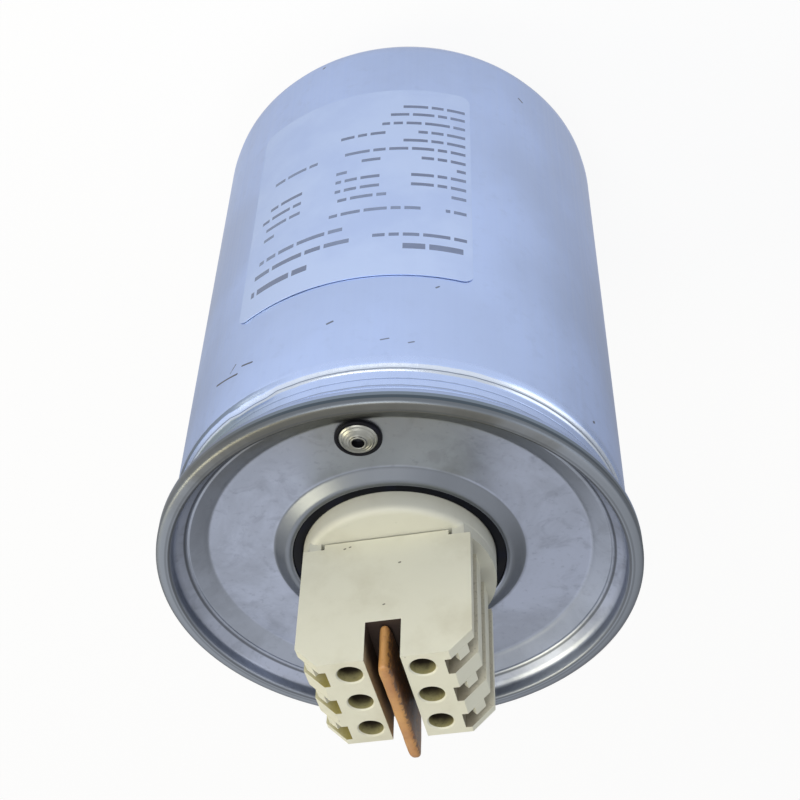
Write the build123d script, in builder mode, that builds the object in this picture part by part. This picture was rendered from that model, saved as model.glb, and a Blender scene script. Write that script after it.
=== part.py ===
"""Power factor correction capacitor: a round aluminium can with a moulded six-way terminal block.

Millimetres. +Z runs up the can's axis, towards the terminals. The origin is the centre of the
flat seat at the can's base, where the fixing stud leaves it.
"""

from build123d import *
import os
from math import asin, cos, degrees, radians, sin

# Can, drawn from one slug, and the fixing stud pressed into its floor
CAN_RADIUS = 58.1
CAN_WALL = 1.0
CAN_FLOOR = 2.0
CAN_HEIGHT = 164.0
BASE_ROUND = 4.0
STUD_RADIUS = 6.0
STUD_LENGTH = 16.0
STUD_LEAD_IN = 1.0
STUD_COLLAR_WIDTH = 1.0
STUD_COLLAR_HEIGHT = 1.2

# Neck, the ring pressed inward under the rim
NECK_START_DROP = 18.0
NECK_STEP_HEIGHT = 2.2
NECK_STEP_DEPTH = 1.0
NECK_RIDGE_HEIGHT = 1.3
NECK_RIDGE_DEPTH = 0.5
NECK_FLARE_DROP = 9.0
LIP_STRAIGHT = 1.0

# Rim, where can and lid are rolled together
RIM_OVERHANG = 2.7
RIM_HEIGHT = 5.0
SEAM_SHEET = 0.7
SEAM_GAP = 0.1
SEAL_THICKNESS = 0.3
RIM_ROUND = 0.6

# Lid, dished down from the rim in three rings
LID_SHEET = 0.8
LID_RING_DROP = 3.8
LID_CONE_INSET = 3.3
LID_CONE_DROP = 5.6
LID_CONE_WIDTH = 5.1
LID_PLATE_DROP = 8.1
LID_BEAD_WIDTH = 3.5
LID_BEAD_RISE = 2.2
LID_HOLE_LIP = 1.35
LID_HOLE_CLEARANCE = 2.65
LID_HOLE_TURN_DOWN = 0.4

# Terminal base, a round moulding clamped through the lid
BASE_RADIUS = 24.4
BASE_TOP_DROP = 1.0
BASE_EDGE_ROUND = 1.1
BASE_FLANGE_OVERLAP = 1.7
BASE_FLANGE_THICKNESS = 4.0
GASKET_THICKNESS = 1.0
GASKET_LIP_DROP = 6.6
GASKET_CLEARANCE = 0.05
GASKET_LIP_ROUND = 0.3
LUG_HEIGHT = 1.9

# Terminal block
BLOCK_HALF_WIDTH = 20.75
BLOCK_FRONT = -15.0
BLOCK_TOP_RISE = 35.5
BLOCK_CHAMFER_WIDTH = 5.4
BLOCK_CHAMFER_HEIGHT = 5.3
FOOT_INSET = 5.35
FOOT_GAP = 0.9
SPIGOT_END_WALL = 1.4
SPIGOT_WALL = 0.9
SPIGOT_LENGTH = 5.0
FIT_GAP = 0.1
PHASE_PITCH = 10.8
PHASE_COUNT = 3
BLOCK_FRONT_WALL = 1.2
GROOVE_WIDTH = 5.4
GROOVE_DEPTH = 6.9
GROOVE_OFFSET = 0.8
BLOCK_REAR_WALL = 1.9
SLOT_WALL = 1.25
SLOT_DEPTH = 10.8
DRIVER_HOLE_RADIUS = 3.0
DRIVER_HOLE_LEAD_IN = 0.35
TONGUE_START = 0.30
TONGUE_END = 0.71
TONGUE_REACH = 3.0
TONGUE_THICKNESS = 1.4

# Clamp chamber inside the block, one for each phase, open at the foot
WINDOW_WALL = 1.25
CHAMBER_HALF_DEPTH = 3.7
CHAMBER_TOP_DROP = 12.7
WIRE_WINDOW_HEIGHT = 8.6

# Clamps
CAGE_HALF_DEPTH = 3.6
CAGE_WALL = 0.9
CAGE_HEIGHT = 12.0
CAGE_LENGTH = 7.0
CAGE_END_GAP = 0.6
CAGE_ROOF = 2.0
SCREW_RADIUS = 2.5
SCREW_RUN = 0.05
SCREW_HEAD_RADIUS = 2.85
SCREW_HEAD_HEIGHT = 2.4
SCREW_REACH = 5.0
SCREW_LIFT = 1.2
SCREW_RECESS_LENGTH = 3.6
SCREW_RECESS_WIDTH = 0.9
SCREW_RECESS_DEPTH = 1.2

# Phase bars
BAR_THICKNESS = 2.0
BAR_HALF_DEPTH = 2.5
BAR_END_GAP = 0.3
STEM_HALF_WIDTH = 4.0
STEM_THICKNESS = 1.5
STEM_DROP = 6.0
STEM_GAP = 0.15

# Discharge module, a lacquered resistor plate plugged across the three phases
MODULE_THICKNESS = 3.3
MODULE_RISE = 2.0
MODULE_FRONT_SETBACK = 1.0
MODULE_OVERHANG = 8.8
MODULE_TAIL_ROUND = 4.2
MODULE_CORNER_ROUND = 1.0
MODULE_EDGE_ROUND = 0.9
MODULE_SEAT_GAP = 0.3
BLADE_THICKNESS = 0.8
BLADE_HALF_DEPTH = 2.0
BLADE_GAP = 0.15

# Filling vent, a sealed blind rivet
VENT_INSET = 5.8
VENT_ANGLE = -89.0
VENT_HEAD_RADIUS = 4.7
VENT_HEAD_EDGE = 0.3
VENT_HEAD_RISE = 1.1
VENT_HUB_RADIUS = 2.0
VENT_HUB_RISE = 0.35
VENT_BORE_RADIUS = 1.5
VENT_BORE_DEPTH = 4.0
VENT_SHANK_RADIUS = 2.4
VENT_TAIL_LENGTH = 6.0
VENT_BULB_RADIUS = 3.2
VENT_BULB_LENGTH = 3.4
VENT_RING_RADIUS = 5.7
VENT_RING_HEIGHT = 0.9
VENT_RING_BASE = 0.5
VENT_RING_ROUND = 0.25
VENT_CLEARANCE = 0.05

# Windings and what holds them
LINER_GAP = 0.2
LINER_WALL = 0.8
LINER_TOP_GAP = 3.0
TRAY_THICKNESS = 2.0
TRAY_WALL = 0.6
TRAY_HEIGHT = 9.0
WINDING_GAP = 1.3
STACK_TOP_GAP = 8.1
CORE_RADIUS = 8.0
CORE_WALL = 1.5
CORE_GAP = 0.1
SPACER_THICKNESS = 2.0
LEAD_RADIUS = 0.7
LEAD_OFFSET = 1.0
LEAD_BEND = 1.5
LEAD_HEIGHT = 3.0
LEAD_TAIL = 7.0
LEAD_NOTCH = 2.0
LEAD_CLEARANCE = 0.05
LEAD_ROUTES = ((0, -1), (1, 0), (0, 1))

# Rating label on the can's side, left without print
LABEL_THICKNESS = 0.12
LABEL_LIFT = 0.15
LABEL_TOP_GAP = 30.2
LABEL_HEIGHT = 85.0
LABEL_START_ANGLE = -119.5
LABEL_SWEEP = 63.5
LABEL_CORNER_RADIUS = 3.0

OUT = "parts"


# Heights worked out from the driving sizes
lid_plate_z = CAN_HEIGHT - LID_PLATE_DROP
lid_under_z = lid_plate_z - LID_SHEET
base_top_z = CAN_HEIGHT - BASE_TOP_DROP
shoulder_z = base_top_z + LUG_HEIGHT
block_top_z = CAN_HEIGHT + BLOCK_TOP_RISE
slot_floor_z = block_top_z - SLOT_DEPTH
chamber_top_z = block_top_z - CHAMBER_TOP_DROP
cage_top_z = chamber_top_z - FIT_GAP
cage_floor_z = cage_top_z - CAGE_HEIGHT
bar_low_z = cage_floor_z + CAGE_WALL
bar_top_z = bar_low_z + BAR_THICKNESS
flange_top_z = lid_under_z - GASKET_THICKNESS
flange_low_z = flange_top_z - BASE_FLANGE_THICKNESS
stem_low_z = flange_low_z - STEM_DROP
module_low_z = slot_floor_z + MODULE_SEAT_GAP
module_top_z = block_top_z + MODULE_RISE

# Places along and across the block
first_phase_y = BLOCK_FRONT + BLOCK_FRONT_WALL + CHAMBER_HALF_DEPTH
first_groove_y = first_phase_y + GROOVE_OFFSET
last_phase_y = first_phase_y + (PHASE_COUNT - 1) * PHASE_PITCH
mid_phase_y = (first_phase_y + last_phase_y) / 2
last_groove_y = first_groove_y + (PHASE_COUNT - 1) * PHASE_PITCH
mid_groove_y = (first_groove_y + last_groove_y) / 2
block_rear = last_groove_y + GROOVE_WIDTH / 2 + BLOCK_REAR_WALL
block_depth = block_rear - BLOCK_FRONT
block_mid_y = (BLOCK_FRONT + block_rear) / 2
groove_floor_x = BLOCK_HALF_WIDTH - GROOVE_DEPTH
chamber_half_width = groove_floor_x - WINDOW_WALL
cage_mid_x = chamber_half_width - CAGE_END_GAP - CAGE_LENGTH / 2
slot_half_width = cage_mid_x - DRIVER_HOLE_RADIUS - SLOT_WALL
spigot_half_width = chamber_half_width + SPIGOT_END_WALL
foot_half_width = BLOCK_HALF_WIDTH - FOOT_INSET

# Seam layers, from the lid's inner wall out to the rim
rim_radius = CAN_RADIUS + RIM_OVERHANG
seam_inner = rim_radius - 5 * SEAM_SHEET - 4 * SEAM_GAP
can_lip_inner = seam_inner + SEAM_SHEET + SEAM_GAP
can_lip_outer = can_lip_inner + SEAM_SHEET
lid_hook_inner = can_lip_outer + SEAM_GAP
lid_hook_outer = lid_hook_inner + SEAM_SHEET
can_hook_inner = lid_hook_outer + SEAM_GAP
can_hook_outer = can_hook_inner + SEAM_SHEET
crest_under_z = CAN_HEIGHT - SEAM_SHEET
can_lip_z = crest_under_z - SEAL_THICKNESS
rim_low_z = CAN_HEIGHT - RIM_HEIGHT
seam_floor_z = rim_low_z + SEAM_SHEET

# Radii of the lid's rings, inwards from the seam and outwards from the terminal base
lid_cone_radius = seam_inner - LID_CONE_INSET
lid_plate_radius = lid_cone_radius - LID_CONE_WIDTH
lid_hole_radius = BASE_RADIUS + LID_HOLE_CLEARANCE
bead_top_radius = lid_hole_radius + LID_HOLE_LIP
bead_foot_radius = bead_top_radius + LID_BEAD_WIDTH
flange_radius = bead_foot_radius + BASE_FLANGE_OVERLAP

# Windings, as large as the can's bore and height leave room for
can_inner = CAN_RADIUS - CAN_WALL
liner_outer = can_inner - LINER_GAP
liner_inner = liner_outer - LINER_WALL
tray_radius = liner_inner - LINER_GAP
tray_floor_z = CAN_FLOOR + TRAY_THICKNESS
stack_top_z = stem_low_z - STACK_TOP_GAP
stack_pitch = (stack_top_z - tray_floor_z) / PHASE_COUNT
winding_height = stack_pitch - SPACER_THICKNESS
winding_radius = tray_radius - TRAY_WALL - WINDING_GAP
lead_circle = winding_radius + LEAD_OFFSET

os.makedirs(OUT, exist_ok=True)


def save(builder, name):
    """Label a finished piece and write it as parts/NAME.step."""
    builder.part.label = name
    export_step(builder.part, f"{OUT}/{name}.step")


def revolve_outline(points, centre=(0, 0)):
    """Turn a closed outline of (radius, height) points round an upright axis at centre."""
    axis_plane = Plane(origin=(centre[0], centre[1], 0), x_dir=(1, 0, 0), z_dir=(0, -1, 0))
    with BuildPart() as turned:
        with BuildSketch(axis_plane):
            with BuildLine():
                Polyline(*points, close=True)
            make_face()
        revolve(axis=Axis((centre[0], centre[1], 0), (0, 0, 1)))
    return turned


def cut_box(low, high):
    """Cut the box between two corners from the part being built."""
    size = [b - a for a, b in zip(low, high)]
    middle = [(a + b) / 2 for a, b in zip(low, high)]
    with Locations(tuple(middle)):
        Box(*size, mode=Mode.SUBTRACT)


def add_box(low, high):
    """Add the box between two corners to the part being built."""
    size = [b - a for a, b in zip(low, high)]
    middle = [(a + b) / 2 for a, b in zip(low, high)]
    with Locations(tuple(middle)):
        Box(*size)


# Can, from its flat seat to the hook in the seam
neck_z = CAN_HEIGHT - NECK_START_DROP
step_z = neck_z + NECK_STEP_HEIGHT
ridge_z = step_z + NECK_RIDGE_HEIGHT
flare_z = CAN_HEIGHT - NECK_FLARE_DROP
lip_start_z = rim_low_z - LIP_STRAIGHT
step_radius = CAN_RADIUS - NECK_STEP_DEPTH
neck_radius = step_radius - NECK_RIDGE_DEPTH
base_centre = (CAN_RADIUS - BASE_ROUND, BASE_ROUND)
inner_round = BASE_ROUND - CAN_WALL
inner_sweep = degrees(asin((BASE_ROUND - CAN_FLOOR) / inner_round))
collar_radius = STUD_RADIUS + STUD_COLLAR_WIDTH

with BuildPart() as can:
    with BuildSketch(Plane.XZ):
        with BuildLine():
            outside = CenterArc(base_centre, BASE_ROUND, -90, 90)
            inside = CenterArc(base_centre, inner_round, 0, -inner_sweep)
            Polyline(
                inside @ 1,
                (0, CAN_FLOOR),
                (0, STUD_COLLAR_HEIGHT),
                (collar_radius, STUD_COLLAR_HEIGHT),
                (collar_radius, 0),
                outside @ 0,
            )
            Polyline(
                outside @ 1,
                (CAN_RADIUS, neck_z),
                (CAN_RADIUS - NECK_STEP_DEPTH / 3, neck_z + NECK_STEP_HEIGHT / 2),
                (step_radius, step_z),
                (step_radius, step_z + NECK_RIDGE_HEIGHT / 2),
                (neck_radius, ridge_z),
                (neck_radius, flare_z),
                (can_lip_outer, lip_start_z),
                (can_lip_outer, can_lip_z - SEAM_SHEET),
                (can_hook_inner, can_lip_z - SEAM_SHEET),
                (can_hook_inner, seam_floor_z + SEAM_GAP),
                (can_hook_outer, seam_floor_z + SEAM_GAP),
                (can_hook_outer, can_lip_z),
                (can_lip_inner, can_lip_z),
                (can_lip_inner, lip_start_z),
                (neck_radius - CAN_WALL, flare_z),
                (neck_radius - CAN_WALL, ridge_z),
                (step_radius - CAN_WALL, step_z),
                (CAN_RADIUS - CAN_WALL, neck_z),
                inside @ 0,
            )
        make_face()
    revolve(axis=Axis.Z)
save(can, "can")

# Fixing stud, with a collar that fills the recess in the can's floor and is flush with the seat
stud = revolve_outline(
    [
        (0, STUD_COLLAR_HEIGHT),
        (0, -STUD_LENGTH),
        (STUD_RADIUS - STUD_LEAD_IN, -STUD_LENGTH),
        (STUD_RADIUS, -STUD_LENGTH + STUD_LEAD_IN),
        (STUD_RADIUS, 0),
        (collar_radius, 0),
        (collar_radius, STUD_COLLAR_HEIGHT),
    ]
)
save(stud, "fixing_stud")

# Lid, one pressing from the hole's edge out to the hook rolled under the rim
bead_top_z = lid_plate_z + LID_BEAD_RISE
bead_under_z = bead_top_z - LID_SHEET
hole_edge_z = bead_top_z - LID_HOLE_TURN_DOWN
cone_z = CAN_HEIGHT - LID_CONE_DROP
ring_z = CAN_HEIGHT - LID_RING_DROP
vent_pitch_radius = lid_plate_radius - VENT_INSET
vent_x = vent_pitch_radius * cos(radians(VENT_ANGLE))
vent_y = vent_pitch_radius * sin(radians(VENT_ANGLE))

lid = revolve_outline(
    [
        (lid_hole_radius, hole_edge_z),
        (bead_top_radius, bead_top_z),
        (bead_foot_radius, lid_plate_z),
        (lid_plate_radius, lid_plate_z),
        (lid_cone_radius, cone_z),
        (seam_inner - RIM_ROUND, ring_z),
        (seam_inner, ring_z + RIM_ROUND),
        (seam_inner, CAN_HEIGHT - RIM_ROUND),
        (seam_inner + RIM_ROUND, CAN_HEIGHT),
        (rim_radius - RIM_ROUND, CAN_HEIGHT),
        (rim_radius, CAN_HEIGHT - RIM_ROUND),
        (rim_radius, rim_low_z + RIM_ROUND),
        (rim_radius - RIM_ROUND, rim_low_z),
        (lid_hook_inner, rim_low_z),
        (lid_hook_inner, can_lip_z - SEAM_SHEET - SEAM_GAP),
        (lid_hook_outer, can_lip_z - SEAM_SHEET - SEAM_GAP),
        (lid_hook_outer, seam_floor_z),
        (rim_radius - SEAM_SHEET, seam_floor_z),
        (rim_radius - SEAM_SHEET, crest_under_z),
        (seam_inner + SEAM_SHEET, crest_under_z),
        (seam_inner + SEAM_SHEET, ring_z),
        (seam_inner, ring_z - LID_SHEET),
        (lid_cone_radius, cone_z - LID_SHEET),
        (lid_plate_radius, lid_under_z),
        (bead_foot_radius, lid_under_z),
        (bead_top_radius, bead_under_z),
        (lid_hole_radius, hole_edge_z - LID_SHEET),
    ]
)
with lid:
    with Locations((vent_x, vent_y, lid_plate_z)):
        Hole(VENT_SHANK_RADIUS + VENT_CLEARANCE, depth=2 * LID_SHEET)
save(lid, "lid")

rim_seal = revolve_outline(
    [
        (can_lip_inner, can_lip_z),
        (can_hook_outer, can_lip_z),
        (can_hook_outer, crest_under_z),
        (can_lip_inner, crest_under_z),
    ]
)
save(rim_seal, "rim_seal")

# Gasket between the lid and the terminal base, with a lip that fills the hole
gasket_inner = BASE_RADIUS + GASKET_CLEARANCE
gasket_lip = lid_hole_radius - GASKET_CLEARANCE
gasket_top_z = CAN_HEIGHT - GASKET_LIP_DROP
gasket = revolve_outline(
    [
        (gasket_inner, flange_top_z),
        (flange_radius, flange_top_z),
        (flange_radius, lid_under_z),
        (bead_foot_radius, lid_under_z),
        (bead_top_radius, bead_under_z),
        (lid_hole_radius, hole_edge_z - LID_SHEET),
        (gasket_lip, hole_edge_z - LID_SHEET),
        (gasket_lip, gasket_top_z - GASKET_LIP_ROUND),
        (gasket_lip - GASKET_LIP_ROUND, gasket_top_z),
        (gasket_inner + GASKET_LIP_ROUND, gasket_top_z),
        (gasket_inner, gasket_top_z - GASKET_LIP_ROUND),
    ]
)
save(gasket, "terminal_gasket")

# Terminal base, with two lugs that carry the block's shoulders
pocket_half_width = spigot_half_width + FIT_GAP
spigot_front = first_phase_y - CHAMBER_HALF_DEPTH - SPIGOT_WALL
spigot_rear = last_phase_y + CHAMBER_HALF_DEPTH + SPIGOT_WALL
spigot_low_z = base_top_z - SPIGOT_LENGTH
lug_inner_x = foot_half_width + FOOT_GAP

with BuildPart() as base:
    with Locations((0, 0, flange_low_z)):
        Cylinder(
            flange_radius,
            BASE_FLANGE_THICKNESS,
            align=(Align.CENTER, Align.CENTER, Align.MIN),
        )
    with Locations((0, 0, flange_top_z)):
        Cylinder(
            BASE_RADIUS,
            base_top_z - flange_top_z,
            align=(Align.CENTER, Align.CENTER, Align.MIN),
        )
    fillet(base.edges().filter_by(GeomType.CIRCLE).sort_by(Axis.Z)[-1], BASE_EDGE_ROUND)
    with BuildSketch(Plane.XY.offset(base_top_z - BASE_EDGE_ROUND)):
        Circle(BASE_RADIUS)
        with Locations((0, block_mid_y)):
            Rectangle(2 * BASE_RADIUS, block_depth, mode=Mode.INTERSECT)
            Rectangle(2 * lug_inner_x, block_depth, mode=Mode.SUBTRACT)
    extrude(amount=LUG_HEIGHT + BASE_EDGE_ROUND)
    cut_box(
        (-pocket_half_width, spigot_front - FIT_GAP, spigot_low_z - FIT_GAP),
        (pocket_half_width, spigot_rear + FIT_GAP, base_top_z),
    )
    with Locations((0, mid_phase_y, flange_low_z)):
        with GridLocations(1, PHASE_PITCH, 1, PHASE_COUNT):
            Box(
                2 * (STEM_HALF_WIDTH + STEM_GAP),
                STEM_THICKNESS + 2 * STEM_GAP,
                base_top_z - flange_low_z,
                align=(Align.CENTER, Align.CENTER, Align.MIN),
                mode=Mode.SUBTRACT,
            )
save(base, "terminal_base")

# Terminal block: outline along Y, then what is cut from it
chamfer_x = BLOCK_HALF_WIDTH - BLOCK_CHAMFER_WIDTH
chamfer_z = block_top_z - BLOCK_CHAMFER_HEIGHT
window_mid_x = (chamber_half_width + groove_floor_x) / 2
rib_to_window = GROOVE_WIDTH / 2 - TONGUE_REACH / 2


def along_chamfer(fraction, depth, side):
    """A point at a fraction of the chamfer's length from the end face, depth below it."""
    run = (BLOCK_CHAMFER_WIDTH**2 + BLOCK_CHAMFER_HEIGHT**2) ** 0.5
    inward_x = -BLOCK_CHAMFER_HEIGHT / run * depth
    inward_z = -BLOCK_CHAMFER_WIDTH / run * depth
    x = chamfer_x + BLOCK_CHAMFER_WIDTH * fraction + inward_x
    z = block_top_z - BLOCK_CHAMFER_HEIGHT * fraction + inward_z
    return (side * x, z)


with BuildPart() as block:
    with BuildSketch(Plane.XZ.offset(-BLOCK_FRONT)):
        with BuildLine():
            half = [
                (slot_half_width, slot_floor_z),
                (slot_half_width, block_top_z),
                (chamfer_x, block_top_z),
                (BLOCK_HALF_WIDTH, chamfer_z),
                (BLOCK_HALF_WIDTH, shoulder_z),
                (foot_half_width, shoulder_z),
                (foot_half_width, base_top_z),
            ]
            Polyline(*half, *[(-x, z) for x, z in reversed(half)], close=True)
        make_face()
    extrude(amount=-block_depth)
    add_box(
        (-spigot_half_width, spigot_front, spigot_low_z),
        (spigot_half_width, spigot_rear, base_top_z),
    )
    # Side grooves, from the shoulder out through the end face
    for side in (-1, 1):
        with Locations((side * (groove_floor_x + GROOVE_DEPTH / 2), mid_groove_y, shoulder_z)):
            with GridLocations(1, PHASE_PITCH, 1, PHASE_COUNT):
                Box(
                    GROOVE_DEPTH,
                    GROOVE_WIDTH,
                    block_top_z - shoulder_z,
                    align=(Align.CENTER, Align.CENTER, Align.MIN),
                    mode=Mode.SUBTRACT,
                )
        # Tongues, flush with the chamfer and rooted in the rib on the groove's front side
        for index in range(PHASE_COUNT):
            rib_y = first_groove_y + index * PHASE_PITCH - GROOVE_WIDTH / 2
            with BuildSketch(Plane.XZ.offset(-rib_y)):
                with BuildLine():
                    Polyline(
                        along_chamfer(TONGUE_START, 0, side),
                        along_chamfer(TONGUE_END, 0, side),
                        along_chamfer(TONGUE_END, TONGUE_THICKNESS, side),
                        along_chamfer(TONGUE_START, TONGUE_THICKNESS, side),
                        close=True,
                    )
                make_face()
            extrude(amount=-TONGUE_REACH)
        # Wire windows, from the groove's floor into the clamp chamber
        with Locations((side * window_mid_x, mid_groove_y, bar_top_z)):
            with GridLocations(1, PHASE_PITCH, 1, PHASE_COUNT):
                Box(
                    groove_floor_x - chamber_half_width,
                    GROOVE_WIDTH,
                    WIRE_WINDOW_HEIGHT,
                    align=(Align.CENTER, Align.CENTER, Align.MIN),
                    mode=Mode.SUBTRACT,
                )
    # Clamp chambers, open at the foot
    with Locations((0, mid_phase_y, spigot_low_z)):
        with GridLocations(1, PHASE_PITCH, 1, PHASE_COUNT):
            Box(
                2 * chamber_half_width,
                2 * CHAMBER_HALF_DEPTH,
                chamber_top_z - spigot_low_z,
                align=(Align.CENTER, Align.CENTER, Align.MIN),
                mode=Mode.SUBTRACT,
            )
    # Screwdriver holes over the clamps
    with Locations((0, mid_phase_y, block_top_z)):
        with GridLocations(2 * cage_mid_x, PHASE_PITCH, 2, PHASE_COUNT):
            Hole(DRIVER_HOLE_RADIUS, depth=CHAMBER_TOP_DROP)
    mouths = block.edges().filter_by(GeomType.CIRCLE).group_by(Axis.Z)[-1]
    chamfer(mouths, DRIVER_HOLE_LEAD_IN)
    # Slits that let the discharge module's blades through the slot's floor
    with Locations((0, mid_phase_y, chamber_top_z)):
        with GridLocations(1, PHASE_PITCH, 1, PHASE_COUNT):
            Box(
                BLADE_THICKNESS + 2 * BLADE_GAP,
                2 * (BLADE_HALF_DEPTH + BLADE_GAP),
                slot_floor_z - chamber_top_z,
                align=(Align.CENTER, Align.CENTER, Align.MIN),
                mode=Mode.SUBTRACT,
            )
save(block, "terminal_block")

# Clamp cages: a tunnel over each end of a phase bar, with a threaded roof
phase_ys = [first_phase_y + index * PHASE_PITCH for index in range(PHASE_COUNT)]
tunnel_half_depth = CAGE_HALF_DEPTH - CAGE_WALL

for index, phase_y in enumerate(phase_ys):
    for side, side_name in ((-1, "right"), (1, "left")):
        clamp_x = side * cage_mid_x
        with BuildPart() as cage:
            with Locations((clamp_x, phase_y, cage_floor_z)):
                Box(
                    CAGE_LENGTH,
                    2 * CAGE_HALF_DEPTH,
                    CAGE_HEIGHT,
                    align=(Align.CENTER, Align.CENTER, Align.MIN),
                )
            with Locations((clamp_x, phase_y, bar_low_z)):
                Box(
                    CAGE_LENGTH,
                    2 * tunnel_half_depth,
                    CAGE_HEIGHT - CAGE_WALL - CAGE_ROOF,
                    align=(Align.CENTER, Align.CENTER, Align.MIN),
                    mode=Mode.SUBTRACT,
                )
            with Locations((clamp_x, phase_y, cage_top_z)):
                Hole(SCREW_RADIUS + SCREW_RUN, depth=CAGE_ROOF)
        save(cage, f"clamp_cage_{side_name}_{index + 1}")

# Clamp screws, backed off as supplied, with a cross recess in each head
head_low_z = chamber_top_z + SCREW_LIFT
head_top_z = head_low_z + SCREW_HEAD_HEIGHT
with BuildPart() as screws:
    with Locations((0, mid_phase_y, head_low_z)):
        with GridLocations(2 * cage_mid_x, PHASE_PITCH, 2, PHASE_COUNT):
            Cylinder(
                SCREW_HEAD_RADIUS,
                SCREW_HEAD_HEIGHT,
                align=(Align.CENTER, Align.CENTER, Align.MIN),
            )
            Cylinder(
                SCREW_RADIUS,
                SCREW_REACH,
                align=(Align.CENTER, Align.CENTER, Align.MAX),
            )
    with Locations((0, mid_phase_y, head_top_z)):
        with GridLocations(2 * cage_mid_x, PHASE_PITCH, 2, PHASE_COUNT):
            for turn in (0, 90):
                Box(
                    SCREW_RECESS_LENGTH,
                    SCREW_RECESS_WIDTH,
                    2 * SCREW_RECESS_DEPTH,
                    rotation=(0, 0, turn),
                    mode=Mode.SUBTRACT,
                )
save(screws, "clamp_screws")

# Phase bars: a crossbar through both cages, and a stem down through the base
bar_half_length = chamber_half_width - BAR_END_GAP
for index, phase_y in enumerate(phase_ys):
    with BuildPart() as bar:
        add_box(
            (-bar_half_length, phase_y - BAR_HALF_DEPTH, bar_low_z),
            (bar_half_length, phase_y + BAR_HALF_DEPTH, bar_top_z),
        )
        add_box(
            (-STEM_HALF_WIDTH, phase_y - STEM_THICKNESS / 2, stem_low_z),
            (STEM_HALF_WIDTH, phase_y + STEM_THICKNESS / 2, bar_low_z),
        )
    save(bar, f"phase_bar_{index + 1}")

# Discharge module and its three plug blades
module_front = BLOCK_FRONT + MODULE_FRONT_SETBACK
module_rear = block_rear + MODULE_OVERHANG
with BuildPart() as module:
    with BuildSketch(Plane.YZ.offset(-MODULE_THICKNESS / 2)) as plate:
        with Locations(((module_front + module_rear) / 2, (module_low_z + module_top_z) / 2)):
            Rectangle(module_rear - module_front, module_top_z - module_low_z)
        fillet(plate.vertices().group_by(Axis.Y)[-1], MODULE_TAIL_ROUND)
        fillet(plate.vertices().group_by(Axis.Y)[0], MODULE_CORNER_ROUND)
    extrude(amount=MODULE_THICKNESS)
    fillet(module.faces().sort_by(Axis.X)[0].edges(), MODULE_EDGE_ROUND)
    fillet(module.faces().sort_by(Axis.X)[-1].edges(), MODULE_EDGE_ROUND)
save(module, "discharge_module")

for index, phase_y in enumerate(phase_ys):
    with BuildPart() as blade:
        add_box(
            (-BLADE_THICKNESS / 2, phase_y - BLADE_HALF_DEPTH, bar_top_z),
            (BLADE_THICKNESS / 2, phase_y + BLADE_HALF_DEPTH, module_low_z),
        )
    save(blade, f"module_blade_{index + 1}")

# Filling vent: a blind rivet on its sealing ring
seat_z = lid_plate_z + VENT_RING_BASE
cone_top_z = seat_z + VENT_HEAD_EDGE + VENT_HEAD_RISE
hub_top_z = cone_top_z + VENT_HUB_RISE
bulb_top_z = lid_under_z - VENT_CLEARANCE
tip_z = lid_under_z - VENT_TAIL_LENGTH
bulb_taper = VENT_BULB_RADIUS - VENT_SHANK_RADIUS
vent_rivet = revolve_outline(
    [
        (0, hub_top_z - VENT_BORE_DEPTH),
        (VENT_BORE_RADIUS, hub_top_z - VENT_BORE_DEPTH),
        (VENT_BORE_RADIUS, hub_top_z),
        (VENT_HUB_RADIUS, hub_top_z),
        (VENT_HUB_RADIUS, cone_top_z),
        (VENT_HEAD_RADIUS, seat_z + VENT_HEAD_EDGE),
        (VENT_HEAD_RADIUS, seat_z),
        (VENT_SHANK_RADIUS, seat_z),
        (VENT_SHANK_RADIUS, bulb_top_z),
        (VENT_BULB_RADIUS, bulb_top_z - bulb_taper),
        (VENT_BULB_RADIUS, bulb_top_z - VENT_BULB_LENGTH),
        (VENT_SHANK_RADIUS, bulb_top_z - VENT_BULB_LENGTH - bulb_taper),
        (VENT_SHANK_RADIUS, tip_z),
        (0, tip_z),
    ],
    (vent_x, vent_y),
)
save(vent_rivet, "vent_rivet")

ring_inner = VENT_SHANK_RADIUS + VENT_CLEARANCE
lip_inner = VENT_HEAD_RADIUS + VENT_CLEARANCE
ring_top_z = lid_plate_z + VENT_RING_HEIGHT
vent_ring = revolve_outline(
    [
        (ring_inner, lid_plate_z),
        (VENT_RING_RADIUS, lid_plate_z),
        (VENT_RING_RADIUS, ring_top_z - VENT_RING_ROUND),
        (VENT_RING_RADIUS - VENT_RING_ROUND, ring_top_z),
        (lip_inner + VENT_RING_ROUND, ring_top_z),
        (lip_inner, ring_top_z - VENT_RING_ROUND),
        (lip_inner, seat_z),
        (ring_inner, seat_z),
    ],
    (vent_x, vent_y),
)
save(vent_ring, "vent_ring")

# Insulation: a tray on the can's floor and a liner round the windings
tray = revolve_outline(
    [
        (0, CAN_FLOOR),
        (tray_radius, CAN_FLOOR),
        (tray_radius, tray_floor_z + TRAY_HEIGHT),
        (tray_radius - TRAY_WALL, tray_floor_z + TRAY_HEIGHT),
        (tray_radius - TRAY_WALL, tray_floor_z),
        (0, tray_floor_z),
    ]
)
save(tray, "bottom_insulator")

liner_top_z = neck_z - LINER_TOP_GAP
liner = revolve_outline(
    [
        (liner_inner, BASE_ROUND),
        (liner_outer, BASE_ROUND),
        (liner_outer, liner_top_z),
        (liner_inner, liner_top_z),
    ]
)
save(liner, "liner_sleeve")

# Three windings stacked on one core tube, parted by discs
core_outer = CORE_RADIUS - CORE_GAP
core_tube = revolve_outline(
    [
        (core_outer - CORE_WALL, tray_floor_z),
        (core_outer, tray_floor_z),
        (core_outer, stack_top_z),
        (core_outer - CORE_WALL, stack_top_z),
    ]
)
save(core_tube, "core_tube")

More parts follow.
